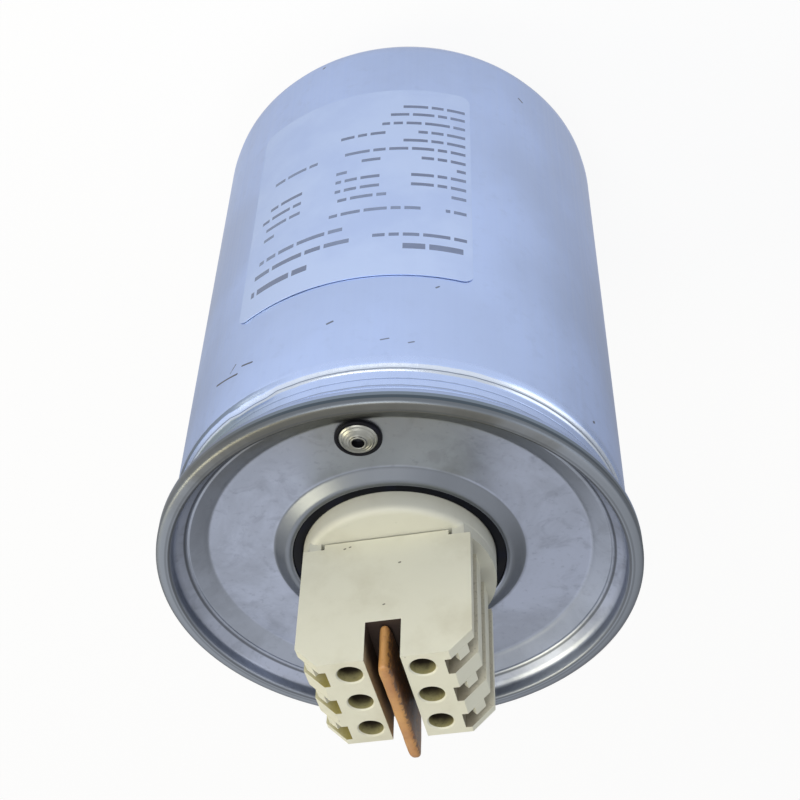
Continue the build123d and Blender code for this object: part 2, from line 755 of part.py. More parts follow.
lead_run_z = stack_top_z + LEAD_HEIGHT
for index, phase_y in enumerate(phase_ys):
    out_x, out_y = LEAD_ROUTES[index]
    winding_low_z = tray_floor_z + index * stack_pitch
    winding_top_z = winding_low_z + winding_height
    winding = revolve_outline(
        [
            (CORE_RADIUS, winding_low_z),
            (winding_radius, winding_low_z),
            (winding_radius, winding_top_z),
            (CORE_RADIUS, winding_top_z),
        ]
    )
    save(winding, f"winding_{index + 1}")

    # Disc over this winding, notched where its lead comes out
    with BuildPart() as disc:
        with Locations((0, 0, winding_top_z)):
            Cylinder(
                winding_radius,
                SPACER_THICKNESS,
                align=(Align.CENTER, Align.CENTER, Align.MIN),
            )
            Cylinder(
                CORE_RADIUS,
                SPACER_THICKNESS,
                align=(Align.CENTER, Align.CENTER, Align.MIN),
                mode=Mode.SUBTRACT,
            )
        side_y = phase_y if out_x else 0
        notch_x = out_x * (winding_radius - LEAD_TAIL / 2)
        notch_y = out_y * (winding_radius - LEAD_TAIL / 2) + side_y
        with Locations((notch_x, notch_y, winding_top_z)):
            Box(
                2 * LEAD_TAIL if out_x else LEAD_NOTCH,
                2 * LEAD_TAIL if out_y else LEAD_NOTCH,
                SPACER_THICKNESS,
                align=(Align.CENTER, Align.CENTER, Align.MIN),
                mode=Mode.SUBTRACT,
            )
    save(disc, f"spacer_disc_{index + 1}")

    # Lead from the winding's end up beside the stack and in to the phase bar's stem
    lead_z = winding_top_z + LEAD_RADIUS + LEAD_CLEARANCE
    inner = winding_radius - LEAD_TAIL
    stem_end = (0, phase_y, stem_low_z)
    route = [
        (out_x * inner, out_y * inner + side_y, lead_z),
        (out_x * lead_circle, out_y * lead_circle + side_y, lead_z),
        (out_x * lead_circle, out_y * lead_circle + side_y, lead_run_z),
        (0, phase_y, lead_run_z),
        stem_end,
    ]
    with BuildPart() as lead:
        with BuildLine() as wire:
            FilletPolyline(*route, radius=LEAD_BEND)
        with BuildSketch(Plane(origin=wire.line @ 0, z_dir=wire.line % 0)):
            Circle(LEAD_RADIUS)
        sweep()
    save(lead, f"phase_lead_{index + 1}")

# Rating label on the can's side, left without print, on its adhesive layer
label_inner = CAN_RADIUS + LABEL_LIFT
label_outer = label_inner + LABEL_THICKNESS
label_low_z = neck_z - LABEL_TOP_GAP - LABEL_HEIGHT
with BuildPart() as label:
    with BuildSketch(Plane.XY.offset(label_low_z)):
        with BuildLine():
            inner_arc = CenterArc((0, 0), label_inner, LABEL_START_ANGLE, LABEL_SWEEP)
            outer_arc = CenterArc((0, 0), label_outer, LABEL_START_ANGLE, LABEL_SWEEP)
            Line(inner_arc @ 0, outer_arc @ 0)
            Line(inner_arc @ 1, outer_arc @ 1)
        make_face()
    extrude(amount=LABEL_HEIGHT)
    ends = label.faces().filter_by(GeomType.PLANE).filter_by(Axis.Z, reverse=True)
    fillet(ends.edges().filter_by(Axis.Z, reverse=True), LABEL_CORNER_RADIUS)
save(label, "rating_label")
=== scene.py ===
"""Looks of the power factor correction capacitor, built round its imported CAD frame.

Sizes in the classes are millimetres, and the modelling tools turn them into Blender's metres.
The frame's +Z runs up the can towards its terminals, and the can's seat is at z = 0.
"""

import logging
import math
from dataclasses import dataclass, field
from enum import Enum
from typing import Callable, Optional, Sequence

import bpy
from mathutils import Matrix, Vector, noise

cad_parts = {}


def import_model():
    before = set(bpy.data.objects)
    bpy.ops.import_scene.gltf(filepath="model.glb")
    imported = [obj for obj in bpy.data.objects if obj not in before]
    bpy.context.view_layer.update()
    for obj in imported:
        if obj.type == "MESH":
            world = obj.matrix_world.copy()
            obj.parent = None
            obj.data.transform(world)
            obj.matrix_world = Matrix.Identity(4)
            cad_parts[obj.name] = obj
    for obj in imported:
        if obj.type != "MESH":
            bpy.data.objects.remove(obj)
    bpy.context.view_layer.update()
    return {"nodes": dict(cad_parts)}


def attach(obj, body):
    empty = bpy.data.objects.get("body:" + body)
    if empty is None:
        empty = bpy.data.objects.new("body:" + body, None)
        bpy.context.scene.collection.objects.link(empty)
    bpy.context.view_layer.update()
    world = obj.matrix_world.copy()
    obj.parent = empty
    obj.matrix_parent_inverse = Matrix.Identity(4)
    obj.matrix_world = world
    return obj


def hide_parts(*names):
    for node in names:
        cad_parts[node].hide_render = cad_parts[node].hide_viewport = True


MM = 0.001
BODY = "root"
BAND_EDGE = 0.12
# Where in x the bands of painted light and shade take their strength at the left side.
LEFT_START = 10.0
LEFT_FULL = 36.0

Point2 = tuple[float, float]
Point3 = tuple[float, float, float]
Colour = tuple[float, float, float]
Socket = bpy.types.NodeSocket
Shape = bpy.types.Object

log = logging.getLogger("capacitor")


class Carve(Enum):
    """What a tool solid does to the piece it meets."""

    AWAY = "DIFFERENCE"
    ON = "UNION"
    COMMON = "INTERSECT"


class Side(Enum):
    """The terminal block's two sides of clamps."""

    RIGHT = -1
    LEFT = 1


class Depth(Enum):
    """The way into a hollow."""

    DOWN = "Z"
    INWARD = "X"


def linear(red: int, green: int, blue: int) -> Colour:
    """Turn an 8-bit screen colour into a linear one.

    Args:
        red: Red, 0 to 255.
        green: Green, 0 to 255.
        blue: Blue, 0 to 255.

    Returns:
        The colour as Blender's sockets take it.
    """
    tones = []
    for tone in (red, green, blue):
        share = tone / 255
        tones.append(share / 12.92 if share <= 0.04045 else ((share + 0.055) / 1.055) ** 2.4)
    return tones[0], tones[1], tones[2]


def darker(colour: Colour, share: float) -> Colour:
    """Scale a colour's strength.

    Args:
        colour: Linear colour.
        share: What is left of it, 1 for all.

    Returns:
        The scaled colour.
    """
    return colour[0] * share, colour[1] * share, colour[2] * share


def on_wall(radius: float, angle: float, height: float) -> Point3:
    """Find a point on an upright round wall.

    Args:
        radius: Distance from the can's axis.
        angle: Degrees from the front, positive towards the left clamps.
        height: Height over the can's seat.

    Returns:
        The point, in the unit of the radius.
    """
    turn = math.radians(angle)
    return radius * math.sin(turn), -radius * math.cos(turn), height


class Bench:
    """Modelling steps on one mesh at a time, each through Blender's own operators."""

    @staticmethod
    def clear() -> None:
        """Leave edit mode and deselect every object."""
        if bpy.context.object is not None and bpy.context.object.mode != "OBJECT":
            bpy.ops.object.mode_set(mode="OBJECT")
        bpy.ops.object.select_all(action="DESELECT")

    @staticmethod
    def hold(piece: Shape) -> None:
        """Select one object alone and make it active."""
        Bench.clear()
        piece.select_set(True)
        bpy.context.view_layer.objects.active = piece

    @staticmethod
    def edit(piece: Shape, mode: str = "VERT") -> None:
        """Open a piece in edit mode with all of it selected."""
        Bench.hold(piece)
        bpy.ops.object.mode_set(mode="EDIT")
        bpy.ops.mesh.select_mode(type=mode)
        bpy.ops.mesh.select_all(action="SELECT")

    @staticmethod
    def close() -> None:
        """Go back to object mode."""
        bpy.ops.object.mode_set(mode="OBJECT")

    @staticmethod
    def settle(piece: Shape) -> None:
        """Apply a piece's place, turn and scale to its mesh."""
        Bench.hold(piece)
        bpy.ops.object.transform_apply(location=True, rotation=True, scale=True)

    @staticmethod
    def pick_edges(
        piece: Shape, test: Callable[[Vector, Vector], bool]
    ) -> None:
        """Select edges by their two ends and open the piece in edit mode.

        Args:
            piece: The mesh object.
            test: Says whether an edge is taken, from its ends in millimetres.
        """
        Bench.edit(piece, "EDGE")
        bpy.ops.mesh.select_all(action="DESELECT")
        Bench.close()
        points = piece.data.vertices
        for edge in piece.data.edges:
            first, second = (points[index].co / MM for index in edge.vertices)
            edge.select = test(first, second)
        bpy.ops.object.mode_set(mode="EDIT")

    @staticmethod
    def heal(piece: Shape, reach: float = 0.002) -> None:
        """Merge doubled points and turn all faces outwards.

        Args:
            piece: The mesh object.
            reach: Points nearer than this, in millimetres, become one.
        """
        Bench.edit(piece)
        bpy.ops.mesh.remove_doubles(threshold=reach * MM)
        bpy.ops.mesh.normals_make_consistent(inside=False)
        Bench.close()

    @staticmethod
    def smooth(piece: Shape, angle: float = 32.0) -> None:
        """Shade a piece smooth, apart from edges sharper than an angle in degrees."""
        Bench.hold(piece)
        bpy.ops.object.shade_smooth_by_angle(angle=math.radians(angle))

    @staticmethod
    def apply(piece: Shape, kind: str, **settings: object) -> None:
        """Add a modifier to a piece and apply it.

        Args:
            piece: The mesh object.
            kind: The modifier's type.
            settings: Its properties.
        """
        Bench.hold(piece)
        modifier = piece.modifiers.new(kind.lower(), kind)
        for name, value in settings.items():
            setattr(modifier, name, value)
        bpy.ops.object.modifier_apply(modifier=modifier.name)

    @staticmethod
    def carve(piece: Shape, tool: Shape, how: Carve = Carve.AWAY) -> None:
        """Cut or join a tool solid and remove the tool.

        Args:
            piece: The mesh object that stays.
            tool: The solid that acts on it.
            how: What it does.
        """
        Bench.apply(piece, "BOOLEAN", operation=how.value, solver="EXACT", object=tool)
        bpy.data.objects.remove(tool, do_unlink=True)

    @staticmethod
    def join(name: str, pieces: Sequence[Shape]) -> Shape:
        """Join several meshes into one object.

        Args:
            name: The joined object's name.
            pieces: The meshes, of which the first stays.

        Returns:
            The joined object.
        """
        Bench.hold(pieces[0])
        for piece in pieces:
            piece.select_set(True)
        if len(pieces) > 1:
            bpy.ops.object.join()
        pieces[0].name = name
        return pieces[0]

    @staticmethod
    def box(name: str, low: Point3, high: Point3) -> Shape:
        """Make a box between two corners, in millimetres.

        Args:
            name: The object's name.
            low: Its lowest corner.
            high: Its highest corner.

        Returns:
            The box, ready to be shaped.
        """
        Bench.clear()
        middle = [(a + b) / 2 * MM for a, b in zip(low, high)]
        bpy.ops.mesh.primitive_cube_add(size=1.0, location=middle)
        piece = bpy.context.object
        piece.name = name
        piece.scale = [(b - a) * MM for a, b in zip(low, high)]
        Bench.settle(piece)
        return piece

    @staticmethod
    def disc(
        name: str, radius: float, low: float, high: float, place: Point2 = (0.0, 0.0), sides: int = 96
    ) -> Shape:
        """Make an upright round solid.

        Args:
            name: The object's name.
            radius: Its radius in millimetres.
            low: Height of its lower face.
            high: Height of its upper face.
            place: Its axis, as x and y.
            sides: How many sides its circle has.

        Returns:
            The solid, ready to be shaped.
        """
        Bench.clear()
        bpy.ops.mesh.primitive_cylinder_add(
            vertices=sides,
            radius=radius * MM,
            depth=(high - low) * MM,
            location=(place[0] * MM, place[1] * MM, (low + high) / 2 * MM),
        )
        piece = bpy.context.object
        piece.name = name
        Bench.settle(piece)
        return piece

    @staticmethod
    def outline(name: str, points: Sequence[Point2], closed: bool) -> Shape:
        """Draw a line of edges through (radius, height) points by extruding one point.

        Args:
            name: The object's name.
            points: The line's points in millimetres.
            closed: Whether the last point joins the first.

        Returns:
            The line as a mesh object, in the plane y = 0.
        """
        Bench.clear()
        bpy.ops.mesh.primitive_plane_add(size=MM)
        piece = bpy.context.object
        piece.name = name
        Bench.edit(piece)
        bpy.ops.mesh.merge(type="CENTER")
        bpy.ops.transform.translate(value=(points[0][0] * MM, 0.0, points[0][1] * MM))
        route = list(points) + ([points[0]] if closed else [])
        for here, there in zip(route, route[1:]):
            step = ((there[0] - here[0]) * MM, 0.0, (there[1] - here[1]) * MM)
            bpy.ops.mesh.extrude_region_move(TRANSFORM_OT_translate={"value": step})
        bpy.ops.mesh.select_all(action="SELECT")
        bpy.ops.mesh.remove_doubles(threshold=0.001 * MM)
        Bench.close()
        return piece

    @staticmethod
    def screw(piece: Shape, pitch: float, turns: int, steps: int) -> None:
        """Sweep an outline round the upright axis.

        Args:
            piece: The outline.
            pitch: Rise for each turn, in millimetres.
            turns: How many turns it makes.
            steps: How many steps each turn has.
        """
        Bench.apply(
            piece,
            "SCREW",
            angle=2 * math.pi,
            screw_offset=pitch * MM,
            iterations=turns,
            steps=steps,
            render_steps=steps,
            use_merge_vertices=True,
            merge_threshold=0.002 * MM,
        )

    @staticmethod
    def turned(
        name: str,
        points: Sequence[Point2],
        closed: bool = True,
        place: Point2 = (0.0, 0.0),
        steps: int = 192,
    ) -> Shape:
        """Spin an outline round an upright axis into a closed solid.

        Args:
            name: The object's name.
            points: (radius, height) points in millimetres.
            closed: False where the outline starts and ends on the axis.
            place: The axis, as x and y.
            steps: How many steps the full turn has.

        Returns:
            The solid, with its faces outwards.
        """
        piece = Bench.outline(name, points, closed)
        Bench.screw(piece, 0.0, 1, steps)
        Bench.heal(piece)
        piece.location = (place[0] * MM, place[1] * MM, 0.0)
        Bench.settle(piece)
        return piece

    @staticmethod
    def rounded(points: Sequence[tuple[float, ...]], arcs: int = 4) -> list[Point2]:
        """Round the corners of an outline.

        Args:
            points: (radius, height) or (radius, height, rounding) for each corner.
            arcs: Steps in each rounded corner.

        Returns:
            The outline's points with each rounding drawn.
        """
        drawn: list[Point2] = []
        count = len(points)
        for index, point in enumerate(points):
            here = Vector(point[:2])
            size = point[2] if len(point) > 2 else 0.0
            back = Vector(points[index - 1][:2]) - here
            ahead = Vector(points[(index + 1) % count][:2]) - here
            if size <= 0 or back.length < 1e-6 or ahead.length < 1e-6:
                drawn.append((here.x, here.y))
                continue
            reach = min(size, 0.48 * back.length, 0.48 * ahead.length)
            start = here + back.normalized() * reach
            end = here + ahead.normalized() * reach
            for step in range(arcs + 1):
                share = step / arcs
                bend = start.lerp(here, share).lerp(here.lerp(end, share), share)
                drawn.append((bend.x, bend.y))
        return drawn


@dataclass(frozen=True)
class Mark:
    """A scratch, fleck or speck of dirt, from one point to another."""

    start: Point3
    end: Point3
    width: float
    strength: float


@dataclass(frozen=True)
class Band:
    """A band of painted light and shade round the neck or rim, between two heights, with a strength of
    its own at left.
    """

    low: float
    high: float
    colour: Colour
    strength: float
    left: float


class Nodes:
    """Nodes of one tree, for a material or for the world."""

    def __init__(self, tree: bpy.types.NodeTree) -> None:
        """Start on an empty tree.

        Args:
            tree: The tree, whose default nodes are removed.
        """
        self.tree = tree
        self.tree.nodes.clear()

    def node(self, kind: str, **settings: object) -> bpy.types.Node:
        """Add a node and set its properties."""
        made = self.tree.nodes.new(kind)
        for name, value in settings.items():
            setattr(made, name, value)
        return made

    def join(self, start: Socket, end: Socket) -> None:
        """Link an output to an input."""
        self.tree.links.new(start, end)

    def feed(self, end: Socket, value: object) -> None:
        """Link a socket to an input, or write a plain value there."""
        if isinstance(value, bpy.types.NodeSocket):
            self.join(value, end)
        elif isinstance(value, tuple) and len(value) == 3 and end.type == "RGBA":
            end.default_value = (*value, 1.0)
        else:
            end.default_value = value

    def math(self, how: str, first: object, second: object = 0.0, third: object = 0.0) -> Socket:
        """Work out a number from up to three others.

        Args:
            how: The Math node's operation.
            first: A socket or number.
            second: A socket or number.
            third: A socket or number.

        Returns:
            The result's socket.
        """
        made = self.node("ShaderNodeMath", operation=how)
        for index, value in enumerate((first, second, third)):
            self.feed(made.inputs[index], value)
        return made.outputs[0]

    def vector(self, how: str, first: object, second: object = (0.0, 0.0, 0.0)) -> bpy.types.Node:
        """Add a Vector Math node and feed its first two inputs."""
        made = self.node("ShaderNodeVectorMath", operation=how)
        self.feed(made.inputs[0], first)
        self.feed(made.inputs[1], second)
        return made

    def spread(
        self, value: Socket, start: float, end: float, low: float = 0.0, high: float = 1.0
    ) -> Socket:
        """Map one range of a value smoothly onto another.

        Args:
            value: What is mapped.
            start: Where the range starts.
            end: Where the range ends.
            low: The result at its start.
            high: The result at its end.

        Returns:
            The mapped value.
        """
        made = self.node("ShaderNodeMapRange", interpolation_type="SMOOTHSTEP")
        self.join(value, made.inputs["Value"])
        for name, number in (("From Min", start), ("From Max", end), ("To Min", low), ("To Max", high)):
            made.inputs[name].default_value = number
        return made.outputs["Result"]

    def mix(self, share: object, first: object, second: object, how: str = "MIX") -> Socket:
        """Mix two colours.

        Args:
            share: How much of the second, 0 to 1.
            first: A socket or colour.
            second: A socket or colour.
            how: The blend.

        Returns:
            The mixed colour.
        """
        made = self.node("ShaderNodeMix", data_type="RGBA", blend_type=how)
        self.feed(made.inputs[0], share)
        self.feed(made.inputs[6], first)
        self.feed(made.inputs[7], second)
        return made.outputs[2]


class Graph(Nodes):
    """One material's nodes, laid down from the pattern to the shader."""

    def __init__(self, name: str) -> None:
        """Start a material with a Principled shader.

        Args:
            name: The material's name.
        """
        self.material = bpy.data.materials.new(name)
        self.material.use_nodes = True
        super().__init__(self.material.node_tree)
        self.output = self.node("ShaderNodeOutputMaterial")
        self.shader = self.node("ShaderNodeBsdfPrincipled")
        self.join(self.shader.outputs["BSDF"], self.output.inputs["Surface"])
        self.place = self.node("ShaderNodeTexCoord").outputs["Object"]

    def set(self, **values: object) -> None:
        """Write plain values on the Principled shader's own sockets, by name with _ for a space."""
        for name, value in values.items():
            self.feed(self.shader.inputs[name.replace("_", " ")], value)

    def stretched(self, scale: Point3, turn: Point3 = (0.0, 0.0, 0.0)) -> Socket:
        """Scale and turn the object coordinates.

        Args:
            scale: Repeats for each metre along x, y and z.
            turn: Turn in degrees about x, y and z.

        Returns:
            The coordinates' socket.
        """
        made = self.node("ShaderNodeMapping")
        self.join(self.place, made.inputs["Vector"])
        made.inputs["Scale"].default_value = scale
        made.inputs["Rotation"].default_value = [math.radians(angle) for angle in turn]
        return made.outputs["Vector"]

    def noise(
        self,
        scale: float,
        detail: float = 3.0,
        roughness: float = 0.5,
        at: Optional[Socket] = None,
        distortion: float = 0.0,
    ) -> Socket:
        """Add a noise pattern.

        Args:
            scale: Grains for each unit of its coordinates.
            detail: Octaves.
            roughness: How strong the finer octaves are.
            at: Its coordinates, or None for the object's own.
            distortion: How far the pattern is swirled.

        Returns:
            The pattern's grey value.
        """
        made = self.node("ShaderNodeTexNoise")
        self.join(at or self.place, made.inputs["Vector"])
        made.inputs["Scale"].default_value = scale
        made.inputs["Detail"].default_value = detail
        made.inputs["Roughness"].default_value = roughness
        made.inputs["Distortion"].default_value = distortion
        return made.outputs[0]

    def relief(self, height: Socket, depth: float, under: Optional[Socket] = None) -> Socket:
        """Raise a pattern as bump.

        Args:
            height: The pattern.
            depth: How far its whole range stands up, in millimetres.
            under: A coarser relief that this one lies on.

        Returns:
            The bumped normal.
        """
        made = self.node("ShaderNodeBump")
        made.inputs["Strength"].default_value = 1.0
        made.inputs["Distance"].default_value = depth * MM
        self.join(height, made.inputs["Height"])
        if under is not None:
            self.join(under, made.inputs["Normal"])
        return made.outputs["Normal"]

    def reach(self) -> Socket:
        """Read the distance from the can's axis, in metres."""
        flat = self.vector("MULTIPLY", self.place, (1.0, 1.0, 0.0)).outputs[0]
        return self.vector("LENGTH", flat).outputs["Value"]

    def uneven(self, pattern: Socket, middle: float, less: float, more: float) -> Socket:
        """Spread a pattern's usual range from below to above a middle value.

        Args:
            pattern: A noise's grey value.
            middle: The value between the two.
            less: How far the result starts under it.
            more: How far it ends over it.

        Returns:
            The uneven value.
        """
        return self.spread(pattern, 0.3, 0.7, middle - less, middle + more)

    def axis_share(self, name: str) -> Socket:
        """Read one of the object's coordinates, in metres."""
        made = self.node("ShaderNodeSeparateXYZ")
        self.join(self.place, made.inputs[0])
        return made.outputs[name]

    def stroke(self, start: Point3, end: Point3, width: float) -> Socket:
        """Mask a straight stroke between two points.

        Args:
            start: One end in millimetres.
            end: The other end.
            width: Its half width.

        Returns:
            1 on the stroke and 0 away from it.
        """
        first = Vector(start) * MM
        run = Vector(end) * MM - first
        away = self.vector("SUBTRACT", self.place, tuple(first)).outputs[0]
        along = self.vector("DOT_PRODUCT", away, tuple(run / run.length_squared)).outputs["Value"]
        held = self.math("MINIMUM", self.math("MAXIMUM", along, 0.0), 1.0)
        made = self.node("ShaderNodeVectorMath", operation="SCALE")
        made.inputs[0].default_value = tuple(run)
        self.join(held, made.inputs["Scale"])
        gap = self.vector("SUBTRACT", away, made.outputs[0]).outputs[0]
        length = self.vector("LENGTH", gap).outputs["Value"]
        return self.spread(length, 0.55 * width * MM, width * MM, 1.0, 0.0)

    def banded(
        self, tone: Socket, bands: Sequence[Band], height: Socket, within: object = 1.0
    ) -> Socket:
        """Lay bands of painted light and shade over a tone.

        Args:
            tone: The colour under them.
            bands: The bands, each over the ones before it.
            height: Height over the can's seat, in metres.
            within: Where the bands may lie, 0 to 1.

        Returns:
            The banded colour.
        """
        left = self.spread(self.axis_share("X"), LEFT_START * MM, LEFT_FULL * MM)
        soft = BAND_EDGE * MM
        for band in bands:
            above = self.spread(height, band.low * MM - soft, band.low * MM + soft)
            below = self.spread(height, band.high * MM - soft, band.high * MM + soft, 1.0, 0.0)
            share = self.math("MULTIPLY_ADD", left, band.left - band.strength, band.strength)
            share = self.math("MULTIPLY", share, self.math("MULTIPLY", above, below))
            tone = self.mix(self.math("MULTIPLY", share, within), tone, band.colour)
        return tone


@dataclass(frozen=True)
class DrawnAluminium:
    """Matte aluminium as extruded or pressed, with faint lines from the tool, small marks and bands of
    painted light and shade round the neck.
    """

    name: str
    colour: Colour
    roughness: float = 0.36
    mottle: float = 0.10
    lines: float = 0.5
    line_scale: Point3 = (900.0, 900.0, 6.0)
    marks: tuple[Mark, ...] = ()
    bands: tuple[Band, ...] = ()
    stain_and_shade: Colour = (0.10, 0.10, 0.11)
    polish_from: float = 145.0

    def material(self) -> bpy.types.Material:
        """Build the metal's nodes."""
        graph = Graph(self.name)
        cloud = graph.noise(22.0, 4.0, 0.55)
        fine = graph.noise(260.0, 3.0, 0.6)
        streak = graph.noise(1.0, 2.0, 0.5, graph.stretched(self.line_scale))
        tone = graph.mix(
            graph.spread(cloud, 0.35, 0.68), darker(self.colour, 1 - self.mottle), self.colour
        )
        tone = graph.mix(graph.spread(fine, 0.52, 0.72, 0.0, 0.35), tone, darker(self.colour, 0.86))
        for mark in self.marks:
            mask = graph.stroke(mark.start, mark.end, mark.width)
            torn = graph.math("MULTIPLY", mask, graph.spread(fine, 0.30, 0.46, 0.25, mark.strength))
            tone = graph.mix(torn, tone, self.stain_and_shade)
        height = graph.axis_share("Z")
        ragged = graph.math("ADD", height, graph.spread(fine, 0.3, 0.7, -0.00007, 0.00007))
        # The neck's bands of painted highlight and shade go over the tone.
        graph.set(Metallic=1.0, Base_Color=graph.banded(tone, self.bands, ragged))
        polish = graph.spread(height, self.polish_from * MM, (self.polish_from + 1.0) * MM, 0.0, -0.13)
        rough = graph.math("ADD", graph.spread(cloud, 0.3, 0.7, -0.04, 0.05), self.roughness)
        rough = graph.math("ADD", rough, polish)
        graph.set(Roughness=graph.math("ADD", rough, graph.spread(streak, 0.3, 0.7, -0.03, 0.03)))
        coarse = graph.relief(streak, 0.004 * self.lines)
        graph.set(Normal=graph.relief(fine, 0.004, coarse))
        return graph.material


@dataclass(frozen=True)
class PressedSheet:
    """The lid's mill-finished sheet: clouded and scuffed, with painted shade and reflections on its
    rim, rings, bead, creases, front and skirt.
    """

    name: str
    colour: Colour
    cloud: Colour
    # The next two colours are painted shade: for the rim and the cone's ring, and for the bead.
    rim_shade: Colour
    bead: Colour
    # Painted shade over the lid's front.
    stain_and_shade: Colour
    bands: tuple[Band, ...]
    roughness: float = 0.34
    rim_shade_from: float = 56.4
    skirt_from: float = 60.2
    front_span: Point2 = (-62.0, -28.0)
    outside_span: Point2 = (47.8, 49.2)
    ring_span: Point2 = (48.0, 54.0)
    bead_span: Point2 = (27.0, 32.2)
    creases: tuple[tuple[float, float], ...] = ((54.2, 0.8), (57.5, 0.7), (58.3, 0.4))

    def material(self) -> bpy.types.Material:
        """Build the sheet's nodes."""
        graph = Graph(self.name)
        wide = graph.noise(34.0, 5.0, 0.62, distortion=0.6)
        blots = graph.noise(130.0, 4.0, 0.6, distortion=0.9)
        fine = graph.noise(520.0, 3.0, 0.6)
        reach = graph.reach()
        tone = graph.mix(graph.spread(wide, 0.36, 0.66), self.colour, self.cloud)
        tone = graph.mix(graph.spread(blots, 0.50, 0.70, 0.0, 0.45), tone, darker(self.cloud, 0.78))
        tone = graph.mix(graph.spread(fine, 0.55, 0.75, 0.0, 0.35), tone, darker(self.cloud, 0.7))
        # Painted shade on the cone's ring and on the bead.
        rings = ((self.ring_span, 0.5, self.rim_shade), (self.bead_span, 0.9, self.bead))
        for (start, end), strength, shade_tone in rings:
            ring = graph.math(
                "MULTIPLY",
                graph.spread(reach, start * MM, (start + 0.8) * MM, 0.0, strength),
                graph.spread(reach, (end - 0.4) * MM, end * MM, 1.0, 0.0),
            )
            tone = graph.mix(ring, tone, shade_tone)
        # Painted shade on the rolled rim, from its crest outwards.
        rolled = graph.spread(reach, self.rim_shade_from * MM, (self.rim_shade_from + 1.2) * MM)
        tone = graph.mix(rolled, tone, self.rim_shade)
        # Painted shade over the lid's front, darker still on the cone and crest beyond 49 mm from the
        # axis.
        place = graph.math("ADD", graph.axis_share("Y"), graph.spread(wide, 0.3, 0.7, -0.006, 0.006))
        start, end = self.front_span
        front = graph.spread(place, start * MM, end * MM, 0.85, 0.0)
        tone = graph.mix(front, tone, self.stain_and_shade)
        start, end = self.outside_span
        outside = graph.spread(reach, start * MM, end * MM)
        tone = graph.mix(graph.math("MULTIPLY", front, outside), tone, darker(self.stain_and_shade, 0.48))
        # Painted shade lines in the lid's creases.
        for radius, strength in self.creases:
            off = graph.math("ABSOLUTE", graph.math("SUBTRACT", reach, radius * MM))
            tone = graph.mix(
                graph.spread(off, 0.12 * MM, 0.42 * MM, strength, 0.0), tone, darker(self.rim_shade, 0.3)
            )
        # The skirt round the rim carries its bands of painted light and shade.
        skirt = graph.spread(reach, self.skirt_from * MM, (self.skirt_from + 0.3) * MM)
        tone = graph.banded(tone, self.bands, graph.axis_share("Z"), skirt)
        graph.set(Metallic=1.0, Base_Color=tone)
        rough = graph.spread(wide, 0.3, 0.7, self.roughness + 0.05, self.roughness - 0.03)
        graph.set(Roughness=graph.math("ADD", rough, graph.math("MULTIPLY", rolled, 0.05)))
        coarse = graph.relief(blots, 0.012)
        graph.set(Normal=graph.relief(fine, 0.006, coarse))
        return graph.material


@dataclass(frozen=True)
class Moulding:
    """Moulded thermoset or thermoplastic, with a dull skin, handling grime and dirt specks."""

    name: str
    colour: Colour
    grime: Colour
    roughness: float = 0.52
    grime_share: float = 0.35
    specks: float = 0.55
    relief: float = 0.02
    marks: tuple[Mark, ...] = ()

    def material(self) -> bpy.types.Material:
        """Build the plastic's nodes."""
        graph = Graph(self.name)
        cloud = graph.noise(70.0, 5.0, 0.6)
        skin = graph.noise(1400.0, 2.0, 0.6)
        grain = graph.noise(420.0, 2.0, 0.5)
        tone = graph.mix(
            graph.spread(cloud, 0.42, 0.78, 0.0, self.grime_share), self.colour, self.grime
        )
        fleck = graph.node("ShaderNodeTexVoronoi", feature="F1")
        graph.join(graph.stretched((330.0, 330.0, 330.0)), fleck.inputs["Vector"])
        fleck.inputs["Scale"].default_value = 1.0
        dot = graph.spread(fleck.outputs["Distance"], 0.045, 0.11, 1.0, 0.0)
        rare = graph.spread(graph.noise(55.0, 1.0, 0.5), 0.56, 0.66, 0.0, self.specks)
        tone = graph.mix(graph.math("MULTIPLY", dot, rare), tone, darker(self.grime, 0.35))
        for mark in self.marks:
            mask = graph.stroke(mark.start, mark.end, mark.width)
            tone = graph.mix(graph.math("MULTIPLY", mask, mark.strength), tone, darker(self.grime, 0.2))
        graph.set(Base_Color=tone, IOR=1.5)
        graph.set(Roughness=graph.uneven(cloud, self.roughness, 0.05, 0.08))
        coarse = graph.relief(grain, self.relief)
        graph.set(Normal=graph.relief(skin, self.relief * 0.35, coarse))
        return graph.material


@dataclass(frozen=True)
class Hollow:
    """A hole or groove in the moulding, whose walls get darker painted shade the deeper they are."""

    name: str
    mouth: Colour
    deep: Colour
    way: Depth
    mouth_at: float
    deep_at: float
    roughness: float = 0.62

    def material(self) -> bpy.types.Material:
        """Build the painted shade's nodes."""
        graph = Graph(self.name)
        cloud = graph.noise(150.0, 4.0, 0.6)
        skin = graph.noise(1400.0, 2.0, 0.6)
        place = graph.math("ABSOLUTE", graph.axis_share(self.way.value))
        ragged = graph.math("ADD", place, graph.spread(cloud, 0.3, 0.7, -0.0007, 0.0007))
        share = graph.spread(ragged, self.deep_at * MM, self.mouth_at * MM, 1.0, 0.0)
        tone = graph.mix(share, self.mouth, self.deep)
        tone = graph.mix(graph.spread(skin, 0.5, 0.75, 0.0, 0.3), tone, darker(self.deep, 0.6))
        graph.set(Base_Color=tone, IOR=1.45)
        graph.set(Roughness=graph.uneven(cloud, self.roughness, 0.06, 0.1))
        graph.set(Normal=graph.relief(skin, 0.01))
        return graph.material


